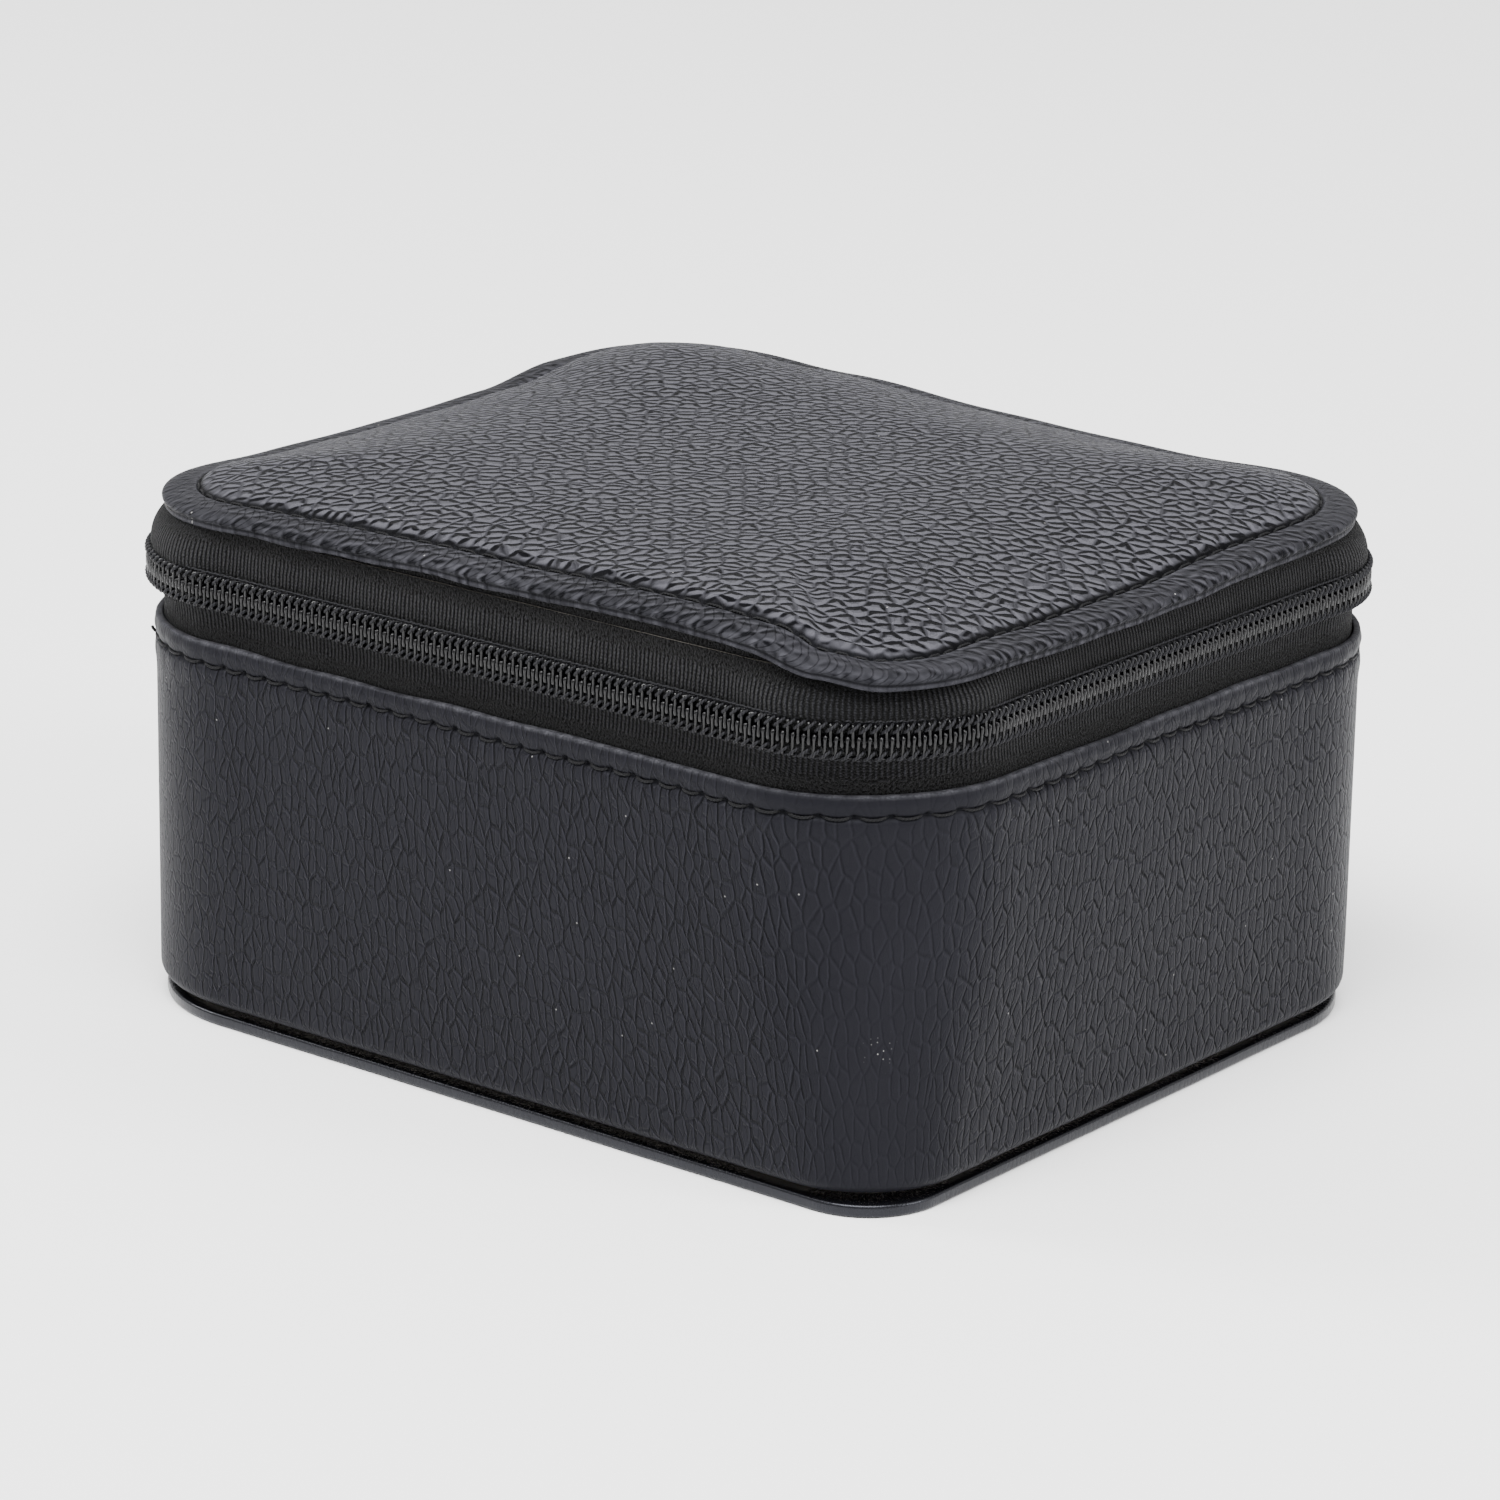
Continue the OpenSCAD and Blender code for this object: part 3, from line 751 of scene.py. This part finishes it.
def with_centre(name, p, material, up, extra=None):
    """A panel from rings running outwards from near the middle, closed by a fan at its centre."""
    rings, cols = p.shape[:2]
    faces = grid(p, True, up)
    uv = grid_uv(p[:, :, 0], p[:, :, 1], True, 0, up)
    mid = p[0].mean(0)
    verts = np.concatenate([p.reshape(-1, 3), mid[None]])
    j = np.arange(cols)
    fan = np.stack([np.full(cols, rings * cols), j, (j + 1) % cols], -1)
    fan = fan if up else fan[:, ::-1]
    fan_uv = verts[fan.reshape(-1), :2]
    if extra:
        extra = {k: np.concatenate([v.ravel(), v.ravel()[:1]]) for k, v in extra.items()}
    faces = faces.tolist() + fan.tolist()
    return make(name, verts, faces, material, np.concatenate([uv, fan_uv]), extra)


def flat_fill(name, o, z, r, material, up=True, lift=None):
    """A flat or crowned panel filling the outline at offset o."""
    ts = np.concatenate([np.linspace(0.03, 0.9, 26), np.linspace(0.91, 1, 16)])
    xy, _ = Track(o, r).place(*NOMINAL.split(S[::3]))
    p = np.zeros((len(ts), len(xy), 3))
    p[:, :, :2] = ts[:, None, None] * xy[None]
    p[:, :, 2] = z if lift is None else z + lift(p[:, :, 0], p[:, :, 1])
    return with_centre(name, p, material, up)


under = flat_fill("base_underside", -29.5, 0.03, 35, SMOOTH_WRAP, up=False)
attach(under, "case")


# ---- the soft rim of the lid
LID_R = (28.0, 22.0)
LID_LINE = 6.5          # the stitched line's distance in from the wall's outline
LID_HOLES = int(round(ROUND / LID_STITCH_LENGTH))
LID_STEP = ROUND / LID_HOLES
# how far the soft rim stands above or below its nominal height round the lid, in mm:
# back, back left corner, left, front left corner, front, front right corner, right, back right corner
RIM_WAVE = [(0.0, -1.4), (0.5, 0.1), (1.0, 0.9), (1.3, 0.1), (1.6, -1.9), (2.0, -2.4), (2.5, -2.0),
            (3.0, -0.7), (3.4, 0.6), (4.0, 1.5), (4.45, 2.2), (4.68, 1.5), (4.84, -0.7), (5.0, -1.9),
            (5.3, -1.8), (5.6, -2.2), (6.0, -2.1), (6.5, -1.2), (7.0, -0.7), (7.5, -1.9), (8.0, -1.4)]


def lid_lift(s):
    """RIM_WAVE at s, eased from one height to the next."""
    mids = [0.0] + [middle(k) for k in range(1, 8)] + [ROUND]
    where = np.interp([w for w, _ in RIM_WAVE], np.arange(9), mids)
    high = np.array([h for _, h in RIM_WAVE])
    s = np.mod(np.asarray(s, float), ROUND)
    k = np.clip(np.searchsorted(where, s, side="right") - 1, 0, len(where) - 2)
    f = (s - where[k]) / (where[k + 1] - where[k])
    return high[k] + (high[k + 1] - high[k]) * f * f * (3 - 2 * f)


# ---- zip tapes
TUCK = 0.9              # how far the tapes' ends reach under the hinge leather
OPEN_S = np.arange(HINGE_HALF - TUCK, ROUND - HINGE_HALF + TUCK, 0.9)
EDGE_REACH = 0.85       # how much closer to the chain's middle the tapes come than in the CAD
LEFT_MID = middle(2)
TRAVEL_HALF = 44.0


def off_travel(s, soft=5.0):
    """0 along the sliders' travel on the left side, 1 clear of it."""
    return np.clip((np.abs(s - LEFT_MID) - TRAVEL_HALF) / soft, 0, 1)


def low_tape_shape(s, o, z):
    t = unit((z - WALL_Z1) / (LOW_TAPE_Z1 - WALL_Z1))
    sag = math.sin(math.pi * t)
    out = -0.45 * sag * off_travel(s, 14.0)
    out = out + corner_mask(s) * 0.5 * t * off_travel(s) + waves(31, s, z, 0.07, (4, 30)) * sag
    return out, EDGE_REACH * t * t * off_travel(s)


def up_tape_shape(s, o, z):
    t = unit((z - UP_TAPE_Z0) / (RIM_Z0 - UP_TAPE_Z0))
    puff = math.sin(math.pi * min(1, 0.12 + 0.88 * t))
    c = corner_mask(s, 16)
    dn = c * (1.3 * puff + 0.45 * (1 - t)) - (1.1 + 0.2 * c) * t * t + waves(33, s, z, 0.10, (4, 30)) * puff
    lift = lid_lift(s) * unit((z - UP_TAPE_Z0 - 1.5) / 7)
    return dn, lift - EDGE_REACH * (1 - t) ** 2 * off_travel(s)


def tape(name, z0, z1, body, shape, knit_low, node):
    """Half of the zip's tape, 0.5 mm thick. The knitted band, painted dark as shade, lies low or high on
    it.
    """
    zs = np.arange(z0, z1 + 0.01, 0.5)
    faces = [(-1.25, z) for z in zs] + [(-1.75, z) for z in zs[::-1]]
    all_rows = [(o, z, blend_r(min(z, WALL_Z1), 1.5 * unit((z - WALL_Z1) / 12))) for o, z in faces]

    def knit_and_shade(s, out):
        # the knitted band by the seam and the strip beside the chain, both painted dark as shade
        z = out[:, :, 2]
        far = (z - WALL_Z1) if knit_low else (RIM_Z0 - z)
        chain = np.clip(1 - (np.abs(z - ZIP_Z) - 2.7) / 0.4, 0, 1)
        return np.maximum(np.clip(1 - (far - 1.6) / 1.1, 0, 1), chain)

    ob = skin(name, all_rows, OPEN_S, False, TAPE, shape, extra={"knit_and_shade": knit_and_shade})
    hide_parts(node)
    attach(ob, body)
    return ob


tape("lower_tape_cloth", WALL_Z1 - 6.0, LOW_TAPE_Z1, "case", low_tape_shape, True, "lower_tape")
tape("upper_tape_cloth", UP_TAPE_Z0, BOARD_Z1 - 0.2, "lid", up_tape_shape, False, "upper_tape")


# ---- zip coil and its sewing threads
ZIP_TRACK = Track(0.0, 26.5)
SIDE_MID = LEFT_MID * ZIP_TRACK.total / ROUND   # the middle of the left side, along the zip
Z_START, Z_END = CHAIN_END + 0.6, ZIP_TRACK.total - CHAIN_END - 0.6
TURNS = int((Z_END - Z_START) / PITCH)


def part_at_sliders(s):
    """How far each half stands off the middle, where the two sliders' wedges part them."""
    return 1.45 * np.clip(1 - (np.abs(s - SIDE_MID) - 4.2) / 3.2, 0, 1)


def zip_out(s):
    """The chain bows out a little at the corners."""
    return 0.45 * corner_mask(s * ROUND / ZIP_TRACK.total, 18.0)


def on_zip(s, o, dz):
    """Points o outside the chain's line and dz above its middle."""
    xy, n = ZIP_TRACK.at(s)
    p = np.zeros((len(s), 3))
    p[:, :2] = xy + n * (o + zip_out(s))[:, None]
    p[:, 2] = ZIP_Z + dz
    return p


def coil(name, side, body, node):
    """One half of the coil: flattened turns whose heads lock between those of the other half."""
    per = 20        # points in one turn
    turn = np.arange(TURNS * per + 1) / per
    a = TAU * turn
    # z along the turn: legs run from the back edge (2.75) to the head (-0.55) past the middle
    reach = np.clip(np.cos(a) * 1.18, -1, 1)
    zz = 0.95 + 1.55 * reach
    front = np.sin(a)
    o = -0.15 + 0.62 * np.clip(front * 1.5, -1, 1) + 0.12 * np.clip(-reach, 0, 1)
    # the leg in front stands upright, the one behind carries the pitch
    phase = a % TAU
    lead = np.where(phase < math.pi, 0.10 * phase / math.pi, 0.10 + 0.90 * (phase - math.pi) / math.pi)
    s = Z_START + (np.floor(turn) + lead + (0.5 if side > 0 else 0.0)) * PITCH
    head = np.clip(-reach, 0, 1) ** 3
    rad = 0.25 + 0.13 * head
    p = on_zip(s, o, side * (zz + part_at_sliders(s)))
    ob = tubes(name, [p], rad, NYLON, 8)
    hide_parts(node)
    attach(ob, body)
    return ob


coil("lower_coil_wire", -1, "case", "lower_coil")
coil("upper_coil_wire", 1, "lid", "upper_coil")


def zip_sewing(name, side, body):
    """Chain stitches holding a coil half to its tape: one loop over each turn and a cord line beyond."""
    paths = []
    for k in range(TURNS):
        t = np.linspace(0, 1, 7)
        s = Z_START + (k + (0.5 if side > 0 else 0.0)) * PITCH + (t - 0.4) * PITCH * 1.05
        o = 0.16 + 0.62 * np.sin(math.pi * t) ** 0.7
        dz = side * (1.35 + 1.35 * (t if side > 0 else 1 - t) + part_at_sliders(s))
        paths.append(on_zip(s, o, dz))
    line = np.arange(Z_START, Z_END, 0.26)
    edge = 2.82 + 0.10 * np.cos(TAU * (line - Z_START) / PITCH)
    o = -0.85 + 0.24 * np.abs(np.cos(math.pi * (line - Z_START) / PITCH))
    ob = tubes(name, paths, 0.23, ZIP_THREAD, 6)
    cord_path = on_zip(line, o + 0.2, side * (edge + part_at_sliders(line)))
    cord = tubes(name + "_cord", [cord_path], 0.2, ZIP_THREAD, 5)
    for x in (ob, cord):
        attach(x, body)


zip_sewing("lower_zip_stitch", -1, "case")
zip_sewing("upper_zip_stitch", 1, "lid")


# ---- lid leather, stitched round a padded crown
def lid_shape(s, o, z):
    """Outward and upward displacement of the lid leather."""
    t = np.abs(np.sin(math.pi * s / LID_STEP))
    gap = np.abs(np.mod(s + LID_STEP / 2, LID_STEP) - LID_STEP / 2)
    hole = bell(gap, 0.45)
    line = LID_LINE - 0.12 * t + waves(43, s, 0.0, 0.1)
    deep = bell(-o - line, 0.42)
    dz = -deep * (0.42 + 0.24 * hole) + lid_lift(s) + waves(41, s, 0.0, 0.12, (6, 22))
    low = unit((RIM_Z0 + 1.6 - z) / 1.2) if o > -2.0 else 0.0
    dz = dz + waves(45, s, 0.0, 0.14, (10, 44)) * low
    dn = waves(47, s, z, 0.16, (4, 26)) * (1 if o > -3 else 0)
    near_edge = unit((o + LID_LINE) / 3)
    return dn - (0.3 + 0.5 * corner_mask(s)) * near_edge, dz


rim_top = RIM_Z0 + 3.25
# the rolled lower edge, up from the rim's lowest point
LIP = [(-1.1, 2.2), (-1.1, 0.9), (-0.95, 0.25), (-0.72, 0.02), (-0.45, 0.06), (-0.28, 0.3),
       (-0.25, 0.62), (-0.36, 0.86), (-0.30, 1.04), (0.05, 1.35)]
lid_rows = [(o, RIM_Z0 + z) for o, z in LIP]
for a in np.linspace(4, 90, 15):
    c, q = math.cos(math.radians(a)), math.sin(math.radians(a))
    lid_rows.append((-5.6 + 5.7 * c ** 0.85, RIM_Z0 + 1.5 + 1.6 * q ** 0.95))
valley = rim_top - 0.06
lid_rows += [(o, rim_top - 0.15 * (o + LID_LINE) / 0.9) for o in np.arange(-5.7, -6.45, -0.12)]
lid_rows += [(o, valley + 0.55 * (-o - LID_LINE) ** 1.1) for o in np.arange(-6.5, -8.35, -0.2)]
SHOULDER = lid_rows[-1][0]
edge_z = lid_rows[-1][1]


def inside(x, y, o, r):
    """Distance in from a rounded outline at offset o."""
    qx, qy = np.abs(x) - (W / 2 + o - r), np.abs(y) - (D / 2 + o - r)
    out = np.hypot(np.maximum(qx, 0), np.maximum(qy, 0)) + np.minimum(np.maximum(qx, qy), 0) - r
    return np.maximum(-out, 0)


def stuffing(x, y):
    """Height of the padded crown over its stitched edge, 0 to 1."""
    d = inside(x, y, SHOULDER, 18.0)
    return 1 - (1 - np.minimum(d / 32.0, 1)) ** 2.0


NO = np.zeros(len(S))
LID_KEYS = ("grain", "edge", "dark", "rim", "across")
k_l, f_l = NOMINAL.split(S)
lid_pts, lid_marks = [], []
for o, z in lid_rows:
    xy, n = Track(o, LID_R).place(k_l, f_l)
    dn, dz = lid_shape(S, o, z)
    lid_pts.append(np.concatenate([xy + n * (NO + dn)[:, None], (z + dz)[:, None]], 1))
    low = z < RIM_Z0 + 1.2
    calm = 0.14 if o > -6.4 else 0.14 + 0.6 * min(1, (-o - 6.4) / 1.9)
    edge = 0.45 if o > -1.2 and low else 0.0
    seam = bell(-o - LID_LINE - 0.28 - waves(43, S, 0.0, 0.1), 0.5)
    rolled = 0.75 if -0.5 < o < -0.2 and RIM_Z0 + 0.7 < z and low else 0.0
    # rim: where the soft rim's wrinkles lie and how much painted shade darkens it
    rim = unit((o + LID_LINE) / 1.2) * (0.4 if low else 1.0)
    across = -o + 3 * (1.5 - min(1.5, max(0, z - RIM_Z0 - 1.3)))
    # dark: painted shadow in the stitched valley and in the fold of the rolled lower lip
    dark = np.clip(1.15 * seam + rolled, 0, 1)
    lid_marks.append([calm * (1 - 0.5 * corner_mask(S)), NO + edge, dark, NO + rim, NO + across])
last = lid_pts[-1]
close_rings = 1 - np.array([0.006, 0.013, 0.021, 0.031, 0.043, 0.057, 0.073])
for t in np.concatenate([close_rings, np.linspace(0.905, 0.025, 44)]):
    xy = last[:, :2] * t
    carry = max(0.0, 1 - (1 - t) / 0.45) ** 1.2
    far = 0.8 * np.exp(-((xy[:, 0] + 48) ** 2 + (xy[:, 1] - 40) ** 2) / 20 ** 2)
    gentle = 0.14 * np.sin(xy[:, 0] / 17.0 + 0.6) * np.sin(xy[:, 1] / 21.0 + 1.1)
    h = (LID_TOP - edge_z) * stuffing(xy[:, 0], xy[:, 1])
    z = edge_z + (last[:, 2] - edge_z) * carry + h + (far + gentle) * min(1.0, (1 - t) / 0.06)
    lid_pts.append(np.concatenate([xy, np.minimum(z, LID_TOP + 0.4)[:, None]], 1))
    lid_marks.append([NO + 0.8 + 0.2 * min(1, (1 - t) / 0.2), NO, NO, NO, NO])
lid_extra = {key: np.array([ring[i] for ring in lid_marks])[::-1] for i, key in enumerate(LID_KEYS)}
lid_extra["along"] = np.repeat(S[None], len(lid_pts), 0)
lid_skin = with_centre("lid_skin", np.array(lid_pts)[::-1], LID_LEATHER_PAINTED_SHEEN, True, lid_extra)
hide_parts("lid_leather", "lid_foam")
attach(lid_skin, "lid")


def lid_seam_z(s):
    """Height of the lid's sunk thread."""
    return valley - 0.22 + lid_lift(s) + waves(41, s, 0.0, 0.12, (6, 22))


lid_stitches = stitch_paths(Track(-LID_LINE, LID_R), LID_HOLES, lid_seam_z,
                            0.25, sink=0.6, lift=0.06, seed=9, flat=True)
lid_thread = tubes("lid_thread", lid_stitches, 0.24, THREAD, 7)
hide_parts("lid_stitching")
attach(lid_thread, "lid")

# the lid card, crushed thin under the stitching
BOARD_Z0 = span("lid_board", 2)[0]
board = flat_fill("lid_card", -1.85, BOARD_Z0 + 0.02, CASE_R, CARD, True,
                  lambda x, y: 1.85 * np.clip((inside(x, y, -1.85, 24.0) - 8) / 9, 0, 1))
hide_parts("lid_board")
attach(board, "lid")


# ---- leather hinge at the back
def hinge_sheet():
    """The hinge leather: two faces, puffed out, with a crease along the chain's height."""
    xs = np.linspace(-HINGE_HALF, HINGE_HALF, 110)
    zs = np.linspace(WALL_Z1 - 5.5, RIM_Z0 - 0.5, 60)
    t = (zs - WALL_Z1) / (RIM_Z0 - WALL_Z1)
    puff = 0.35 * np.sin(math.pi * np.clip(t, 0, 1)) - 0.25 * bell(t - 0.48, 0.05)
    side = np.clip((HINGE_HALF - np.abs(xs)) / 0.8, 0, 1) ** 0.5
    loops = []
    for z, q in zip(zs, puff):
        wob = 0.10 * np.sin(xs * 0.21 + z * 0.3) + 0.05 * np.sin(xs * 0.63 + 1.0)
        loops.append(np.stack([xs, D / 2 - 1.55 + (0.32 + q + wob) * side, np.full_like(xs, z)], -1))
    for z in zs[::-1]:
        loops.append(np.stack([xs, D / 2 - 1.55 - 0.32 * side, np.full_like(xs, z)], -1))
    p = np.array(loops)
    u = p[:, :, 0] + 60
    v = np.repeat(np.concatenate([zs, 2 * zs[-1] - zs[::-1]])[:, None], len(xs), 1)
    return make("hinge_leather", p.reshape(-1, 3), grid(p, False, True), HINGE_LEATHER,
                grid_uv(u, v, False, 0, True))


hinge = hinge_sheet()
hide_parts("hinge_strip")
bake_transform(hinge)


# ---- velvet inside
def velvet_ring(name, o_out, o_in, z_low, z_high, body, node, down=False):
    """A velvet-covered card ring with a rounded free edge, at the top, or at the bottom if down."""
    mid = (o_out + o_in) / 2
    hw = (o_out - o_in) / 2
    soft = 0.8      # the rounded edge's height over its half width
    zs = np.linspace(0, 1, 8)
    turn = [(mid + hw * math.cos(a), hw * soft * math.sin(a)) for a in np.linspace(0, math.pi, 11)]
    if down:
        prof = [(o_in, z_high + (z_low + hw - z_high) * t) for t in zs]
        prof += [(o, z_low + hw * soft - q) for o, q in turn[::-1]]
        prof += [(o_out, z_low + hw + (z_high - z_low - hw) * t) for t in zs]
    else:
        prof = [(o_out, z_low + (z_high - hw - z_low) * t) for t in zs]
        prof += [(o, z_high - hw * soft + q) for o, q in turn]
        prof += [(o_in, z_high - hw + (z_low - z_high + hw) * t) for t in zs]
    rows = [(o, z, CASE_R) for o, z in prof]

    def soften(s, o, z):
        return waves(61, s, z, 0.08, (5, 40)), waves(62, s, 0, 0.06, (5, 40))

    ob = skin(name, rows, S[::2], True, VELVET, soften)
    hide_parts(node)
    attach(ob, body)
    return ob


velvet_ring("lining_velvet", -4.35, -6.3, PAD_Z - 1.5, LIP_Z, "case", "wall_lining")
frame_lo, frame_hi = span("lid_frame", 2)
velvet_ring("lid_frame_velvet", -2.9, -4.3, frame_lo, frame_hi, "lid", "lid_frame", down=True)


def pad_lift(x, y):
    """The floor pad's soft top, lower at its edges."""
    soft = np.minimum(IN_X - np.abs(x), IN_Y - np.abs(y))
    return 0.45 * np.clip(soft / 8, 0, 1) ** 0.6 + 0.12 * np.sin(x / 7.0) * np.sin(y / 9.0)


pad = flat_fill("floor_velvet", -6.35, PAD_Z - 0.4, CASE_R, VELVET, True, pad_lift)
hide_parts("floor_pad")
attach(pad, "case")


def ring_roll(i):
    """A stuffed velvet roll, flattened underneath, with its ends gathered in."""
    (x0, x1), (y0, y1), (z0, z1) = (span(f"ring_roll_{i}", axis) for axis in range(3))
    r = (y1 - y0) / 2
    cy, cz = (y0 + y1) / 2, z1 - r
    ends = 5.0
    xs = np.concatenate([x0 + ends * (1 - np.cos(np.linspace(0, math.pi / 2, 9))),
                         np.linspace(x0 + ends, x1 - ends, 60)[1:-1],
                         x1 - ends * (1 - np.cos(np.linspace(math.pi / 2, 0, 9)))])
    ang = np.linspace(0, TAU, 48, endpoint=False)
    p = np.zeros((len(xs), len(ang), 3))
    rr = np.random.default_rng(80 + i)
    ph = rr.uniform(0, TAU, 4)
    for j, x in enumerate(xs):
        e = max(min(1.0, (x - x0) / ends, (x1 - x) / ends), 0.0)
        rad = max(r * (1 - (1 - e) ** 2.2) ** 0.5 if e < 1 else r, 0.35)
        pleat = 0.22 * (1 - e) * np.sin(ang * 9 + ph[0])
        soft = 0.10 * np.sin(x / 11 + ph[1] + 2 * np.sin(ang)) + 0.05 * np.sin(x / 4.3 + ph[2] + ang)
        q = rad - 0.1 + (pleat + soft) * (rad / r)
        zz = cz + q * np.sin(ang)
        p[j, :, 0] = x
        p[j, :, 1] = cy + q * np.cos(ang)
        p[j, :, 2] = np.maximum(zz, z0 + 0.05)
    ob = make(f"ring_roll_{i}_velvet", p.reshape(-1, 3), grid(p, True, False), VELVET,
              grid_uv(p[:, :, 0], p[:, :, 1], True, 0))
    bm = bmesh.new()
    bm.from_mesh(ob.data)
    bmesh.ops.holes_fill(bm, edges=[e for e in bm.edges if e.is_boundary], sides=0)
    bmesh.ops.recalc_face_normals(bm, faces=bm.faces)
    bm.to_mesh(ob.data)
    bm.free()
    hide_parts(f"ring_roll_{i}")
    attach(ob, "case")


for i in (1, 2, 3, 4):
    ring_roll(i)

# mirror frame and the lid's velvet panel
m_lo, m_hi = span("mirror_frame", 2)
m_in = (W - span("mirror_frame", 0)[1] * 2) / 2
m_w = span("mirror_frame", 0)[1] - span("mirror", 0)[1]
frame_rows = []
for t in np.linspace(0, 1, 15):
    crown = m_hi - (m_hi - m_lo) * math.sin(math.pi * t) ** 0.6
    frame_rows.append((-m_in - m_w + m_w * t, crown, m_in + 3 + (m_w - 1.5) * (1 - t)))
frame_velvet = skin("mirror_frame_velvet", frame_rows, S[::2], True, VELVET,
                    lambda s, o, z: (waves(71, s, z, 0.08, (9, 60)), waves(72, s, 0, 0.07, (9, 60))))
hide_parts("mirror_frame")
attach(frame_velvet, "lid")

LINING_IN = 3.85


def lining_lift(x, y):
    """The lining dips in at its edges and is slightly uneven."""
    from_edge = np.minimum(W / 2 - LINING_IN - np.abs(x), D / 2 - LINING_IN - np.abs(y))
    return 0.5 * (1 - np.clip(from_edge / 5, 0, 1) ** 0.5) + 0.06 * np.sin(x / 8) * np.sin(y / 10)


panel = flat_fill("lid_lining_velvet", -LINING_IN, span("lid_lining", 2)[0], CASE_R, VELVET, False,
                  lining_lift)
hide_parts("lid_lining")
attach(panel, "lid")


# ---- pieces carried over from the CAD
def dress(node, material, bevel=0.0):
    """Gives a CAD node its material and, in mm, a small round along its edges."""
    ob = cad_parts[node]
    ob.data.materials.clear()
    ob.data.materials.append(material)
    if bevel:
        mod = ob.modifiers.new("round", "BEVEL")
        mod.width = bevel * MM
        mod.segments = 3
        mod.limit_method = "ANGLE"
        mod.angle_limit = math.radians(38)
        mod.harden_normals = False
    return ob


for node in ("base_board", "floor_board", "wall_board"):
    dress(node, CARD)
dress("ring_block", VELVET, 0.6)
for node in ("divider_long", "divider_left", "divider_right"):
    dress(node, VELVET, 0.85)
dress("mirror", MIRROR)
for node in ("lower_stop_left", "lower_stop_right", "upper_stop_left", "upper_stop_right"):
    dress(node, METAL, 0.25)
for side in ("front", "rear"):
    dress(f"slider_{side}", METAL, 0.22)
    dress(f"slider_{side}_bridge", METAL, 0.35)
    dress(f"pull_{side}", METAL, 0.3)


# ---- camera, floor and light
AZIMUTH, ELEVATION, PAN, TILT, ROLL = (math.radians(a) for a in (38.23, 17.25, -0.06, -0.33, 0.95))
AIM = Vector((0, 0, 46.2))
DISTANCE = 948.26
LENS, SENSOR = 142.886, 36


def turned(a, b, angle):
    """Two axes of the camera, both turned by angle, a towards b."""
    return a * math.cos(angle) + b * math.sin(angle), b * math.cos(angle) - a * math.sin(angle)


def look():
    """The photo's camera: aimed at AIM, then turned slightly by pan, tilt and roll."""
    level = math.cos(ELEVATION)
    back = Vector((math.sin(AZIMUTH) * level, -math.cos(AZIMUTH) * level, math.sin(ELEVATION)))
    fwd = -back
    right = fwd.cross(Vector((0, 0, 1))).normalized()
    up = right.cross(fwd)
    fwd, right = turned(fwd, right, PAN)
    fwd, up = turned(fwd, up, TILT)
    right, up = turned(right, up, ROLL)
    place = AIM + back * DISTANCE
    cam = bpy.data.cameras.new("camera")
    cam.sensor_width = SENSOR
    cam.lens = LENS
    cam.clip_start, cam.clip_end = 0.05, 60
    ob = bpy.data.objects.new("camera", cam)
    axes = zip(right, up, -fwd, [q * MM for q in place])
    ob.matrix_world = Matrix([*axes, (0, 0, 0, 1)])
    bpy.context.scene.collection.objects.link(ob)
    bpy.context.scene.camera = ob


look()


def floor():
    """A large pale sheet just under the base."""
    m = Mat("floor")
    grime = m.noise(m.obj(), 0.004, 2.0)
    pale = m.mix(grime, rgb(0.955, 0.955, 0.955), rgb(0.975, 0.975, 0.975))
    m.out(Base_Color=pale, Roughness=0.7)
    n, half = 24, 5000.0
    xs = np.linspace(-half, half, n)
    gx, gy = np.meshgrid(xs, xs)
    p = np.stack([gx, gy, np.full_like(gx, -0.02)], -1)
    ob = make("floor", p.reshape(-1, 3), grid(p, False, False), m.m)


floor()


def lamp(name, place, size, power):
    """A soft box at place, in metres, turned to the case, with its power in watts."""
    data = bpy.data.lights.new(name, "AREA")
    data.shape = "RECTANGLE"
    data.size, data.size_y = size
    data.energy = power
    ob = bpy.data.objects.new(name, data)
    ob.location = place
    ob.rotation_euler = (LAMP_AIM - Vector(place)).to_track_quat("-Z", "Y").to_euler()
    bpy.context.scene.collection.objects.link(ob)


LAMP_AIM = Vector((0, 0, 0.05))
world = bpy.data.worlds.new("studio")
world.use_nodes = True
background = world.node_tree.nodes["Background"].inputs
background["Color"].default_value = (1, 1, 1, 1)
background["Strength"].default_value = 1.1
bpy.context.scene.world = world
lamp("top_box", (0.35, -0.75, 2.0), (1.7, 1.3), 120)
lamp("right_box", (1.7, 0.5, 1.0), (0.6, 1.1), 26)
lamp("left_box", (-1.5, -0.6, 1.3), (0.5, 1.0), 24)
